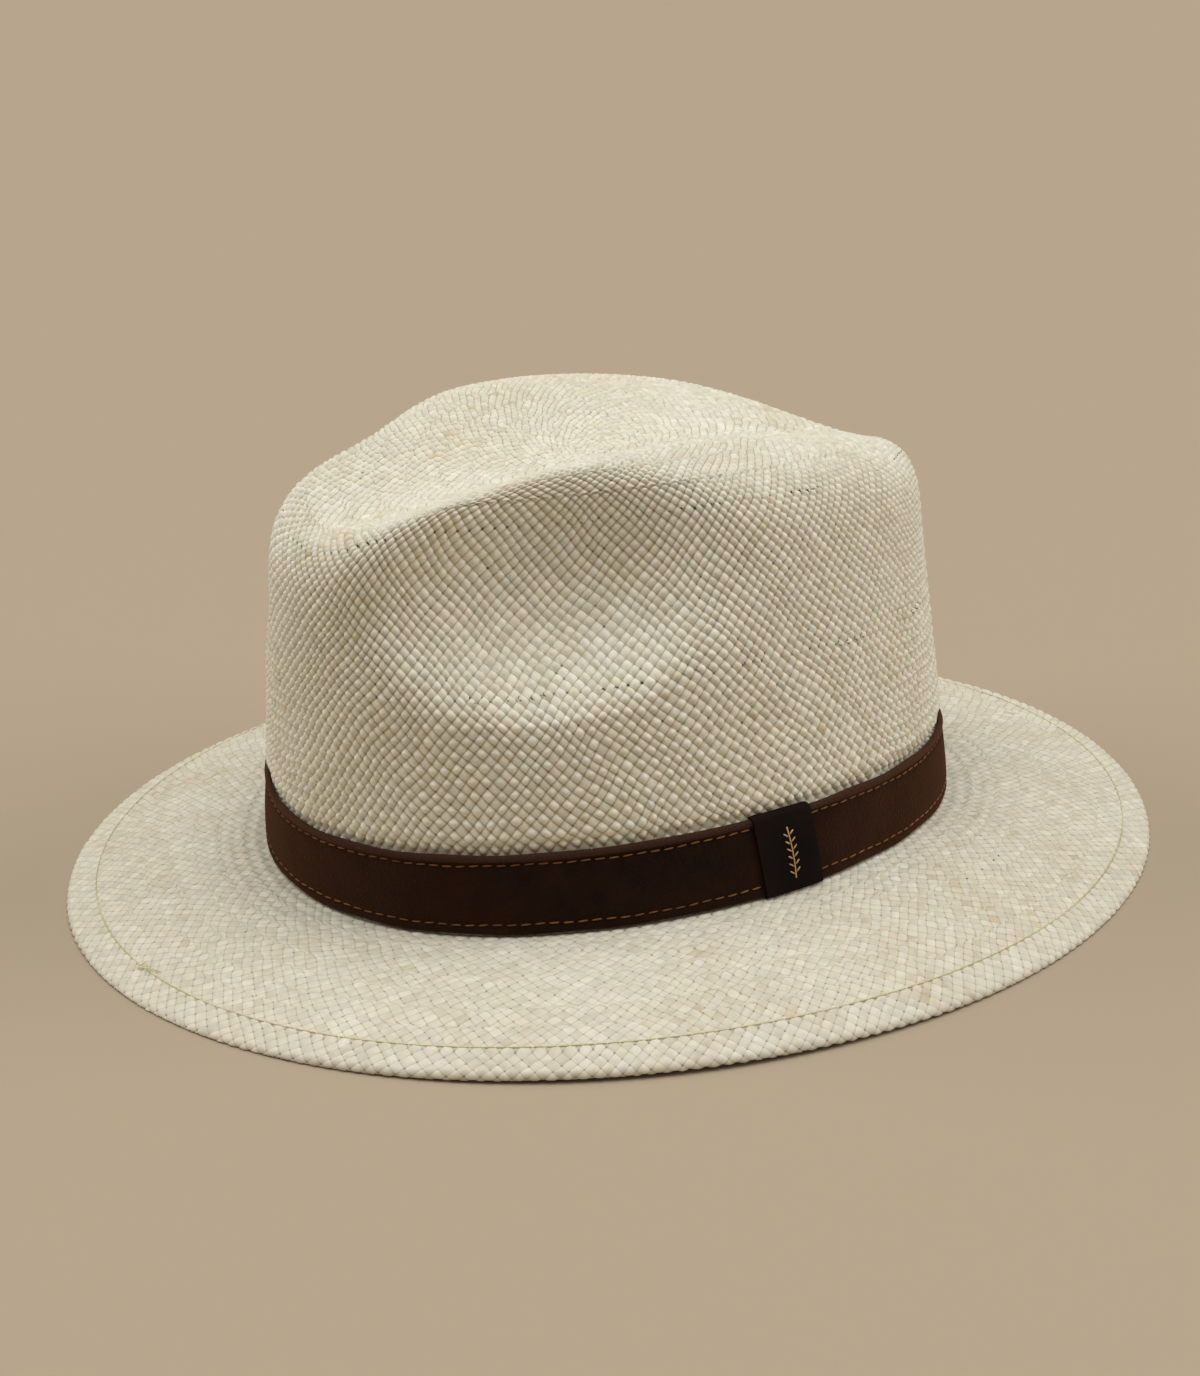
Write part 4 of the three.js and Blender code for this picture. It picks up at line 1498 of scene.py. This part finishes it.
    fibre_place = nodes.new("ShaderNodeCombineXYZ")
    fibre_place.label = "Stretched along the strand"
    fibres = nodes.new("ShaderNodeTexNoise")
    fibres.label = "Fibres"
    fibre_tone = nodes.new("ShaderNodeMapRange")
    fibre_tone.label = "Light and dark fibres"
    fibred = nodes.new("ShaderNodeMix")
    fibred.label = "Straw with fibres"
    bump = nodes.new("ShaderNodeBump")
    bump.label = "Fibre relief"
    gloss = nodes.new("ShaderNodeMapRange")
    gloss.label = "Gloss of the fibres"
    for node, x, y in ((fibre_place, -340, -420), (fibres, -140, -420), (fibre_tone, 60, -420),
                       (fibred, 300, 200), (bump, 300, -420), (gloss, 300, -200)):
        node.parent = fibre_frame
        node.location = (x, y)

    strands.uv_map = "strands"
    over.attribute_name = "strand_over"
    tone.attribute_name = "strand_tone"
    depth.attribute_name = "weave_depth"
    for node in (near_side, near_end):
        node.operation = "PINGPONG"
        node.inputs[1].default_value = 0.5
    for node in (side_edge, end_edge, line_shade_strength, pit_shade_strength):
        node.operation = "MULTIPLY"
    side_edge.inputs[1].default_value = 2.0
    end_edge.inputs[1].default_value = 2.0
    patches.inputs["Scale"].default_value = 38.0
    patches.inputs["Detail"].default_value = 3.0
    blend.operation = "MULTIPLY_ADD"
    blend.inputs[1].default_value = 0.55
    tints.inputs["Scale"].default_value = 210.0
    tints.inputs["Detail"].default_value = 2.0
    ramp = colours.color_ramp
    ramp.elements[0].position = 0.42
    ramp.elements[0].color = finish.warm
    ramp.elements[1].position = 0.95
    ramp.elements[1].color = finish.pale
    ramp.elements.new(0.62).color = finish.cream
    tint_ramp = tint_colours.color_ramp
    tint_ramp.elements[0].position = 0.3
    tint_ramp.elements[0].color = (1.0, 0.86, 0.78, 1)
    tint_ramp.elements[1].position = 0.7
    tint_ramp.elements[1].color = (0.9, 1.0, 0.86, 1)
    tint_ramp.elements.new(0.5).color = (1, 1, 1, 1)
    for node in (tinted, shaded, pit_shaded, fibred):
        node.data_type = "RGBA"
    tinted.blend_type = "MULTIPLY"
    tinted.inputs["Factor"].default_value = 0.2
    deep.inputs["From Min"].default_value = 1.2
    deep.inputs["From Max"].default_value = 1.55
    for node in (side_line, end_line):
        node.interpolation_type = "SMOOTHSTEP"
        node.inputs["To Max"].default_value = 0.75
    side_line.inputs["From Min"].default_value = 0.76
    end_line.inputs["From Min"].default_value = 0.8
    lines.operation = "MAXIMUM"
    low.inputs["From Min"].default_value = 0.85
    low.inputs["From Max"].default_value = 1.15
    low.inputs["To Max"].default_value = 0.4
    shadows.operation = "MAXIMUM"
    line_shade_strength.inputs[1].default_value = gap_share
    tightness.inputs["Scale"].default_value = 330.0
    pit_shade_amount.inputs["From Min"].default_value = 0.38
    pit_shade_amount.inputs["From Max"].default_value = 0.62
    pit_shade_amount.inputs["To Min"].default_value = gap_share * 0.45
    pit_shade_amount.inputs["To Max"].default_value = gap_share
    shaded.inputs["B"].default_value = finish.shade
    pit_shaded.inputs["B"].default_value = finish.gap
    fibres.inputs["Scale"].default_value = 1.0
    fibres.inputs["Detail"].default_value = 2.0
    fibre_tone.inputs["From Min"].default_value = 0.3
    fibre_tone.inputs["From Max"].default_value = 0.7
    fibre_tone.inputs["To Min"].default_value = 0.84
    fibre_tone.inputs["To Max"].default_value = 1.06
    fibred.blend_type = "MULTIPLY"
    fibred.inputs["Factor"].default_value = 1.0
    bump.inputs["Strength"].default_value = finish.fibre_bump
    bump.inputs["Distance"].default_value = 0.0001
    gloss.inputs["To Min"].default_value = finish.roughness - 0.1
    gloss.inputs["To Max"].default_value = finish.roughness + 0.12
    shader.inputs["IOR"].default_value = 1.45
    shader.inputs["Specular IOR Level"].default_value = 0.4

    links.new(strands.outputs["UV"], split.inputs["Vector"])
    links.new(over.outputs["Fac"], along.inputs["Factor"])
    links.new(split.outputs["X"], along.inputs["A"])
    links.new(split.outputs["Y"], along.inputs["B"])
    links.new(over.outputs["Fac"], across.inputs["Factor"])
    links.new(split.outputs["Y"], across.inputs["A"])
    links.new(split.outputs["X"], across.inputs["B"])
    links.new(across.outputs["Result"], near_side.inputs[0])
    links.new(near_side.outputs["Value"], side_edge.inputs[0])
    links.new(along.outputs["Result"], near_end.inputs[0])
    links.new(near_end.outputs["Value"], end_edge.inputs[0])
    links.new(place.outputs["Object"], patches.inputs["Vector"])
    links.new(place.outputs["Object"], tints.inputs["Vector"])
    links.new(patches.outputs["Fac"], blend.inputs[0])
    links.new(tone.outputs["Fac"], blend.inputs[2])
    links.new(blend.outputs["Value"], colours.inputs["Fac"])
    links.new(tints.outputs["Fac"], tint_colours.inputs["Fac"])
    links.new(colours.outputs["Color"], tinted.inputs["A"])
    links.new(tint_colours.outputs["Color"], tinted.inputs["B"])
    links.new(across.outputs["Result"], fibre_place.inputs["X"])
    links.new(along.outputs["Result"], fibre_place.inputs["Y"])
    links.new(tone.outputs["Fac"], fibre_place.inputs["Z"])
    links.new(fibre_place.outputs["Vector"], fibres.inputs["Vector"])
    links.new(fibres.outputs["Fac"], fibre_tone.inputs["Value"])
    links.new(tinted.outputs["Result"], fibred.inputs["A"])
    links.new(fibre_tone.outputs["Result"], fibred.inputs["B"])
    links.new(fibres.outputs["Fac"], bump.inputs["Height"])
    links.new(fibres.outputs["Fac"], gloss.inputs["Value"])
    links.new(depth.outputs["Fac"], deep.inputs["Value"])
    links.new(side_edge.outputs["Value"], side_line.inputs["Value"])
    links.new(end_edge.outputs["Value"], end_line.inputs["Value"])
    links.new(side_line.outputs["Result"], lines.inputs[0])
    links.new(end_line.outputs["Result"], lines.inputs[1])
    links.new(depth.outputs["Fac"], low.inputs["Value"])
    links.new(lines.outputs["Value"], shadows.inputs[0])
    links.new(low.outputs["Result"], shadows.inputs[1])
    links.new(shadows.outputs["Value"], line_shade_strength.inputs[0])
    links.new(line_shade_strength.outputs["Value"], shaded.inputs["Factor"])
    links.new(deep.outputs["Result"], pit_shade_strength.inputs[0])
    links.new(place.outputs["Object"], tightness.inputs["Vector"])
    links.new(tightness.outputs["Fac"], pit_shade_amount.inputs["Value"])
    links.new(pit_shade_amount.outputs["Result"], pit_shade_strength.inputs[1])
    links.new(pit_shade_strength.outputs["Value"], pit_shaded.inputs["Factor"])
    links.new(fibred.outputs["Result"], shaded.inputs["A"])
    links.new(shaded.outputs["Result"], pit_shaded.inputs["A"])
    links.new(pit_shaded.outputs["Result"], shader.inputs["Base Color"])
    links.new(gloss.outputs["Result"], shader.inputs["Roughness"])
    links.new(bump.outputs["Normal"], shader.inputs["Normal"])
    links.new(shader.outputs["BSDF"], output.inputs["Surface"])
    return material


@dataclass(frozen=True)
class HideFinish:
    """Colours and grain of suede or smooth leather."""

    dark: tuple
    light: tuple
    edge: tuple
    height: float
    roughness: float
    grain_scale: float
    grain_bump: float
    nap: float
    sheen: float
    specular: float = 0.3
    brushed: tuple = (1.0, 1.0, 1.0, 1)


def hide_material(name: str, finish: HideFinish) -> bpy.types.Material:
    """Suede or smooth leather: brushed patches, grain, and a worn turned edge.

    Args:
        name: the material's name.
        finish: its colours and grain.
    Returns:
        The new material.
    """
    material = bpy.data.materials.new(name)
    material.use_nodes = True
    nodes, links = material.node_tree.nodes, material.node_tree.links
    nodes.clear()
    output = nodes.new("ShaderNodeOutputMaterial")
    output.label = "Hide surface"
    output.location = (1300, 0)
    shader = nodes.new("ShaderNodeBsdfPrincipled")
    shader.label = "Hide"
    shader.location = (1000, 0)
    patch_frame = nodes.new("NodeFrame")
    patch_frame.label = "Brushed patches"
    edge_frame = nodes.new("NodeFrame")
    edge_frame.label = "Turned and worn edges"
    grain_frame = nodes.new("NodeFrame")
    grain_frame.label = "Grain and nap"

    place = nodes.new("ShaderNodeTexCoord")
    place.label = "Place on the hat"
    brushed = nodes.new("ShaderNodeTexNoise")
    brushed.label = "Brushed this way and that"
    blotches = nodes.new("ShaderNodeTexNoise")
    blotches.label = "Small blotches"
    both = nodes.new("ShaderNodeMath")
    both.label = "Patches and blotches"
    colours = nodes.new("ShaderNodeValToRGB")
    colours.label = "Dark and light hide"
    for node, x, y in ((place, -1100, 0), (brushed, -800, 300), (blotches, -800, 80), (both, -580, 220),
                       (colours, -380, 220)):
        node.parent = patch_frame
        node.location = (x, y)

    flat = nodes.new("ShaderNodeUVMap")
    flat.label = "Flat place on the strip"
    split = nodes.new("ShaderNodeSeparateXYZ")
    split.label = "Height on the strip"
    top = nodes.new("ShaderNodeMapRange")
    top.label = "Turned top edge"
    foot = nodes.new("ShaderNodeMapRange")
    foot.label = "Worn foot"
    edges = nodes.new("ShaderNodeMath")
    edges.label = "Both edges"
    edged = nodes.new("ShaderNodeMix")
    edged.label = "Hide with its edges"
    for node, x, y in ((flat, -1100, -300), (split, -900, -300), (top, -700, -240), (foot, -700, -460),
                       (edges, -500, -340), (edged, -40, 120)):
        node.parent = edge_frame
        node.location = (x, y)

    nap = nodes.new("ShaderNodeTexNoise")
    nap.label = "Nap"
    pores = nodes.new("ShaderNodeTexVoronoi")
    pores.label = "Pores"
    relief = nodes.new("ShaderNodeMath")
    relief.label = "Nap over pores"
    bump = nodes.new("ShaderNodeBump")
    bump.label = "Grain relief"
    nap_tone = nodes.new("ShaderNodeMapRange")
    nap_tone.label = "Light catching the nap"
    napped = nodes.new("ShaderNodeMix")
    napped.label = "Hide with its nap"
    gloss = nodes.new("ShaderNodeMapRange")
    gloss.label = "Gloss between pores"
    for node, x, y in ((nap, -380, -560), (pores, -380, -800), (relief, -160, -660), (bump, 60, -560),
                       (nap_tone, 60, -260), (napped, 300, 60), (gloss, 300, -260)):
        node.parent = grain_frame
        node.location = (x, y)

    flat.uv_map = "flat"
    brushed.inputs["Scale"].default_value = 26.0
    brushed.inputs["Detail"].default_value = 3.0
    brushed.inputs["Distortion"].default_value = 0.6
    blotches.inputs["Scale"].default_value = 190.0
    blotches.inputs["Detail"].default_value = 4.0
    both.operation = "MULTIPLY_ADD"
    both.inputs[1].default_value = 0.45
    ramp = colours.color_ramp
    ramp.elements[0].position = 0.5
    ramp.elements[0].color = finish.dark
    ramp.elements[1].position = 0.95
    ramp.elements[1].color = finish.light
    for node in (top, foot):
        node.interpolation_type = "SMOOTHSTEP"
    top.inputs["From Min"].default_value = (finish.height - 2.0) / 10
    top.inputs["From Max"].default_value = (finish.height - 1.2) / 10
    foot.inputs["From Min"].default_value = 0.06
    foot.inputs["From Max"].default_value = 0.0
    foot.inputs["To Max"].default_value = 0.5
    edges.operation = "MAXIMUM"
    edged.data_type = "RGBA"
    edged.inputs["B"].default_value = finish.edge
    nap.inputs["Scale"].default_value = finish.grain_scale
    nap.inputs["Detail"].default_value = 5.0
    nap.inputs["Roughness"].default_value = 0.7
    pores.inputs["Scale"].default_value = finish.grain_scale * 0.6
    pores.feature = "SMOOTH_F1"
    relief.operation = "ADD"
    bump.inputs["Strength"].default_value = finish.grain_bump
    bump.inputs["Distance"].default_value = 0.0002
    nap_tone.inputs["From Min"].default_value = 0.3
    nap_tone.inputs["From Max"].default_value = 0.7
    nap_tone.inputs["To Min"].default_value = 1 - finish.nap
    nap_tone.inputs["To Max"].default_value = 1 + finish.nap
    napped.data_type = "RGBA"
    napped.blend_type = "MULTIPLY"
    napped.inputs["Factor"].default_value = 1.0
    gloss.inputs["To Min"].default_value = finish.roughness - 0.06
    gloss.inputs["To Max"].default_value = min(finish.roughness + 0.1, 1.0)
    shader.inputs["Specular IOR Level"].default_value = finish.specular
    shader.inputs["Sheen Weight"].default_value = finish.sheen
    shader.inputs["Sheen Roughness"].default_value = 0.5
    shader.inputs["Sheen Tint"].default_value = finish.brushed

    links.new(place.outputs["Object"], brushed.inputs["Vector"])
    links.new(place.outputs["Object"], blotches.inputs["Vector"])
    links.new(blotches.outputs["Fac"], both.inputs[0])
    links.new(brushed.outputs["Fac"], both.inputs[2])
    links.new(both.outputs["Value"], colours.inputs["Fac"])
    links.new(flat.outputs["UV"], split.inputs["Vector"])
    links.new(split.outputs["Y"], top.inputs["Value"])
    links.new(split.outputs["Y"], foot.inputs["Value"])
    links.new(top.outputs["Result"], edges.inputs[0])
    links.new(foot.outputs["Result"], edges.inputs[1])
    links.new(edges.outputs["Value"], edged.inputs["Factor"])
    links.new(colours.outputs["Color"], edged.inputs["A"])
    links.new(place.outputs["Object"], nap.inputs["Vector"])
    links.new(place.outputs["Object"], pores.inputs["Vector"])
    links.new(nap.outputs["Fac"], relief.inputs[0])
    links.new(pores.outputs["Distance"], relief.inputs[1])
    links.new(relief.outputs["Value"], bump.inputs["Height"])
    links.new(nap.outputs["Fac"], nap_tone.inputs["Value"])
    links.new(edged.outputs["Result"], napped.inputs["A"])
    links.new(nap_tone.outputs["Result"], napped.inputs["B"])
    links.new(pores.outputs["Distance"], gloss.inputs["Value"])
    links.new(napped.outputs["Result"], shader.inputs["Base Color"])
    links.new(gloss.outputs["Result"], shader.inputs["Roughness"])
    links.new(bump.outputs["Normal"], shader.inputs["Normal"])
    links.new(shader.outputs["BSDF"], output.inputs["Surface"])
    return material


@dataclass(frozen=True)
class FibreFinish:
    """Colours and twist of thread, ribbon, tape or reed."""

    dark: tuple
    light: tuple
    roughness: float
    scale: float
    bump: float = 0.5
    metallic: float = 0.0
    sheen: float = 0.0
    translucent: float = 0.0
    specular: float = 0.2


def fibre_material(name: str, finish: FibreFinish) -> bpy.types.Material:
    """Thread, ribbon, tape or reed: fine fibres with light and dark flecks.

    Args:
        name: the material's name.
        finish: its colours and the scale of its fibres.
    Returns:
        The new material.
    """
    material = bpy.data.materials.new(name)
    material.use_nodes = True
    nodes, links = material.node_tree.nodes, material.node_tree.links
    nodes.clear()
    output = nodes.new("ShaderNodeOutputMaterial")
    output.label = "Fibre surface"
    output.location = (1100, 0)
    shader = nodes.new("ShaderNodeBsdfPrincipled")
    shader.label = "Fibres"
    shader.location = (800, 0)
    colour_frame = nodes.new("NodeFrame")
    colour_frame.label = "Flecks of colour"
    relief_frame = nodes.new("NodeFrame")
    relief_frame.label = "Fibre relief"

    place = nodes.new("ShaderNodeTexCoord")
    place.label = "Place on the hat"
    stretch = nodes.new("ShaderNodeMapping")
    stretch.label = "Fibres drawn out level"
    flecks = nodes.new("ShaderNodeTexNoise")
    flecks.label = "Flecks"
    wear = nodes.new("ShaderNodeTexNoise")
    wear.label = "Fading"
    both = nodes.new("ShaderNodeMath")
    both.label = "Flecks and fading"
    colours = nodes.new("ShaderNodeValToRGB")
    colours.label = "Dark and light fibres"
    for node, x, y in ((place, -900, 0), (stretch, -700, 0), (flecks, -480, 160), (wear, -480, -80),
                       (both, -280, 100), (colours, -80, 100)):
        node.parent = colour_frame
        node.location = (x, y)

    yarns = nodes.new("ShaderNodeTexNoise")
    yarns.label = "Single fibres"
    bump = nodes.new("ShaderNodeBump")
    bump.label = "Raised fibres"
    gloss = nodes.new("ShaderNodeMapRange")
    gloss.label = "Gloss of the fibres"
    for node, x, y in ((yarns, -480, -360), (bump, 300, -360), (gloss, 300, -120)):
        node.parent = relief_frame
        node.location = (x, y)

    stretch.inputs["Scale"].default_value = (1.0, 1.0, 3.0)
    flecks.inputs["Scale"].default_value = finish.scale
    flecks.inputs["Detail"].default_value = 3.0
    wear.inputs["Scale"].default_value = 45.0
    both.operation = "MULTIPLY_ADD"
    both.inputs[1].default_value = 0.5
    ramp = colours.color_ramp
    ramp.elements[0].position = 0.55
    ramp.elements[0].color = finish.dark
    ramp.elements[1].position = 0.92
    ramp.elements[1].color = finish.light
    yarns.inputs["Scale"].default_value = finish.scale * 2
    yarns.inputs["Detail"].default_value = 2.0
    bump.inputs["Strength"].default_value = finish.bump
    bump.inputs["Distance"].default_value = 0.0001
    gloss.inputs["To Min"].default_value = finish.roughness - 0.05
    gloss.inputs["To Max"].default_value = min(finish.roughness + 0.12, 1.0)
    shader.inputs["Metallic"].default_value = finish.metallic
    shader.inputs["Sheen Weight"].default_value = finish.sheen
    shader.inputs["Specular IOR Level"].default_value = finish.specular
    shader.inputs["Subsurface Weight"].default_value = finish.translucent
    shader.inputs["Subsurface Scale"].default_value = 0.001

    links.new(place.outputs["Object"], stretch.inputs["Vector"])
    links.new(stretch.outputs["Vector"], flecks.inputs["Vector"])
    links.new(place.outputs["Object"], wear.inputs["Vector"])
    links.new(stretch.outputs["Vector"], yarns.inputs["Vector"])
    links.new(flecks.outputs["Fac"], both.inputs[0])
    links.new(wear.outputs["Fac"], both.inputs[2])
    links.new(both.outputs["Value"], colours.inputs["Fac"])
    links.new(colours.outputs["Color"], shader.inputs["Base Color"])
    links.new(yarns.outputs["Fac"], bump.inputs["Height"])
    links.new(yarns.outputs["Fac"], gloss.inputs["Value"])
    links.new(bump.outputs["Normal"], shader.inputs["Normal"])
    links.new(gloss.outputs["Result"], shader.inputs["Roughness"])
    links.new(shader.outputs["BSDF"], output.inputs["Surface"])
    return material


SUEDE = HideFinish(dark=(0.0045, 0.0026, 0.0021, 1), light=(0.018, 0.0078, 0.0046, 1),
                   edge=(0.04, 0.02, 0.014, 1), brushed=(0.42, 0.15, 0.05, 1),
                   height=HatForm.band_height, roughness=0.92, grain_scale=2600, grain_bump=0.9,
                   nap=0.4, sheen=0.3, specular=0.06)
SMOOTH_LEATHER = HideFinish(dark=(0.16, 0.07, 0.028, 1), light=(0.30, 0.145, 0.065, 1),
                            edge=(0.2, 0.1, 0.05, 1), height=Sweatband.high - Sweatband.low,
                            roughness=0.5, grain_scale=1500, grain_bump=0.35, nap=0.1, sheen=0.0)
BAND_THREAD = FibreFinish(dark=(0.1, 0.037, 0.009, 1), light=(0.24, 0.1, 0.027, 1), roughness=0.65,
                          scale=1800)
HEM_THREAD = FibreFinish(dark=(0.46, 0.4, 0.22, 1), light=(0.66, 0.6, 0.38, 1), roughness=0.7, scale=1800)
LEATHER_THREAD = FibreFinish(dark=(0.3, 0.2, 0.1, 1), light=(0.5, 0.36, 0.2, 1), roughness=0.7, scale=1800)
GOLD_THREAD = FibreFinish(dark=(0.42, 0.25, 0.07, 1), light=(0.85, 0.62, 0.26, 1), roughness=0.38, scale=2500,
                          metallic=0.55)
RIBBON = FibreFinish(dark=(0.003, 0.0012, 0.0008, 1), light=(0.01, 0.004, 0.0027, 1), roughness=0.8,
                     scale=1500, specular=0.1)
COTTON_TAPE = FibreFinish(dark=(0.08, 0.05, 0.034, 1), light=(0.15, 0.1, 0.07, 1), roughness=0.9, scale=1600,
                          sheen=0.1)
LABEL_CLOTH = FibreFinish(dark=(0.68, 0.63, 0.52, 1), light=(0.84, 0.81, 0.72, 1), roughness=0.8, scale=2200)
REED_CORE = FibreFinish(dark=(0.52, 0.47, 0.36, 1), light=(0.72, 0.68, 0.58, 1), roughness=0.42, scale=500,
                        bump=0.15, translucent=0.2)


# ---- Studio ----------------------------------------------------------------------------------

@dataclass(frozen=True)
class Studio:
    """The plain pale floor, the soft lights and the camera.

    Each sun has its name, the way to it, its strength, its spread in degrees and its colour.
    """

    azimuth: float = 49.9
    elevation: float = 22.6
    distance: float = 873.5
    target: tuple = (0.0, -4.1, 15.9)
    lens: float = 78.99
    shift: tuple = (-0.0083, 0.0749)
    floor_half: float = 9.0
    floor_colour: tuple = (0.405, 0.33, 0.242, 1)
    air_colour: tuple = (1.0, 0.86, 0.64, 1)
    air_strength: float = 0.3
    suns: tuple = (("overhead", (0.05, -0.04, 1.0), 1.85, 60, (0.94, 0.975, 1.0)),
                   ("left_side", (-0.8, -0.8, 0.6), 1.0, 50, (1.0, 0.99, 0.98)),
                   ("right_side", (0.7, 0.95, 0.6), 1.12, 50, (1.0, 0.99, 0.98)))

    def place_camera(self) -> Piece:
        """Adds the camera and makes it the scene's own."""
        turn, rise = math.radians(self.azimuth), math.radians(self.elevation)
        back = Vector((math.sin(turn) * math.cos(rise), -math.cos(turn) * math.cos(rise), math.sin(rise)))
        target = Vector(self.target) * MM
        data = bpy.data.cameras.new("camera")
        data.lens = self.lens
        data.sensor_width = 36.0
        data.sensor_fit = "AUTO"
        data.shift_x, data.shift_y = self.shift
        data.clip_end = 60.0
        camera = bpy.data.objects.new("camera", data)
        bpy.context.scene.collection.objects.link(camera)
        camera.location = target + back * self.distance * MM
        camera.rotation_euler = back.to_track_quat("Z", "Y").to_euler()
        bpy.context.scene.camera = camera
        return camera

    def lay_floor(self) -> Piece:
        """Adds the floor, which isn't part of the hat."""
        bpy.ops.object.select_all(action="DESELECT")
        bpy.ops.mesh.primitive_plane_add(size=2 * self.floor_half, location=(0, 0, -0.0003))
        floor = bpy.context.object
        floor.name = "floor"
        material = bpy.data.materials.new("floor_paper")
        material.use_nodes = True
        shader = material.node_tree.nodes["Principled BSDF"]
        shader.inputs["Base Color"].default_value = self.floor_colour
        shader.inputs["Roughness"].default_value = 0.95
        shader.inputs["Specular IOR Level"].default_value = 0.1
        floor.data.materials.append(material)
        return floor

    def add_sun(self, name: str, toward: tuple, strength: float, spread: float, colour: tuple) -> None:
        """Adds one broad soft light.

        Args:
            name: the light's name.
            toward: direction from the hat to the light.
            strength: its brightness.
            spread: the angle in degrees that it fills.
            colour: its colour.
        """
        data = bpy.data.lights.new(name, "SUN")
        data.energy = strength
        data.angle = math.radians(spread)
        data.color = colour
        light = bpy.data.objects.new(name, data)
        light.rotation_euler = Vector(toward).to_track_quat("Z", "Y").to_euler()
        bpy.context.scene.collection.objects.link(light)

    def light(self) -> None:
        """Sets the soft light: broad from above, with a little from both sides."""
        world = bpy.data.worlds.new("studio")
        world.use_nodes = True
        background = world.node_tree.nodes["Background"]
        background.inputs["Color"].default_value = self.air_colour
        background.inputs["Strength"].default_value = self.air_strength
        bpy.context.scene.world = world
        for sun in self.suns:
            self.add_sun(*sun)
        bpy.context.scene.view_settings.view_transform = "Standard"

    def build(self) -> None:
        """Sets up the camera, the floor and the lights."""
        self.place_camera()
        self.lay_floor()
        self.light()


# ---- Putting it together ---------------------------------------------------------------------

def dress(piece: Piece, material: bpy.types.Material, node: str | tuple) -> None:
    """Gives a piece its material and place in the frame.

    Args:
        piece: the finished piece.
        material: its material.
        node: the CAD node or nodes that it stands for.
    """
    piece.data.materials.clear()
    piece.data.materials.append(material)
    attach(piece, "root")
    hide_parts(*((node,) if isinstance(node, str) else node))
    log.info("%s: %d faces", piece.name, len(piece.data.polygons))


def dress_hidden_nodes(materials: dict[str, bpy.types.Material]) -> None:
    """Gives the CAD nodes that stay, all covered by other layers, their cloth and thread."""
    for name, material in materials.items():
        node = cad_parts[name]
        node.data.materials.clear()
        node.data.materials.append(material)


def main() -> None:
    """Builds the studio and every piece of the hat."""
    logging.basicConfig(level=logging.INFO, format="%(name)s: %(message)s")
    form = HatForm()
    Studio().build()
    straw = straw_material("woven_straw", StrawFinish(), 0.95)
    brim_straw = straw_material("woven_brim_straw", BRIM_STRAW, 0.6)
    for piece in StrawBody(form).build():
        flat = "brim" in piece.name or "hem" in piece.name
        dress(piece, brim_straw if flat else straw, "straw_body")
    dress(HemThread(form).build(), fibre_material("hem_thread", HEM_THREAD), "hem_thread")

    band = SuedeBand(form)
    band_thread = fibre_material("band_thread", BAND_THREAD)
    ribbon = fibre_material("ribbon", RIBBON)
    dress(band.build_band(), hide_material("suede", SUEDE), "outer_band")
    for label, height in zip(("lower", "upper"), band.stitch_heights):
        node = f"band_stitching_{label}"
        dress(band.build_stitching(f"band_stitches_{label}", height), band_thread, node)
    dress(band.build_keeper(), ribbon, "keeper_loop")
    dress(band.build_motif(), fibre_material("gold_thread", GOLD_THREAD), "keeper_motif")

    inside = Sweatband(form)
    tape = fibre_material("cotton_tape", COTTON_TAPE)
    leather_thread = fibre_material("leather_thread", LEATHER_THREAD)
    dress(inside.build_leather(), hide_material("leather", SMOOTH_LEATHER), "sweatband")
    dress(inside.build_reed(), fibre_material("reed", REED_CORE), "sweatband_reed")
    dress(inside.build_tape(), tape, "reed_tape")
    dress(inside.build_stitching(), leather_thread, "sweatband_stitching")
    dress(inside.build_seam(), leather_thread, "sweatband_seam_stitching")
    dress(inside.build_bow(), ribbon, "rear_bow")
    dress(inside.build_label(), fibre_material("label_cloth", LABEL_CLOTH), "size_label")
    dress_hidden_nodes({"band_lining": tape, "sweatband_seam_tab": tape,
                        **{f"band_tack_{side}": band_thread for side in ("front", "left", "rear", "right")}})


if __name__ == "__main__":
    main()
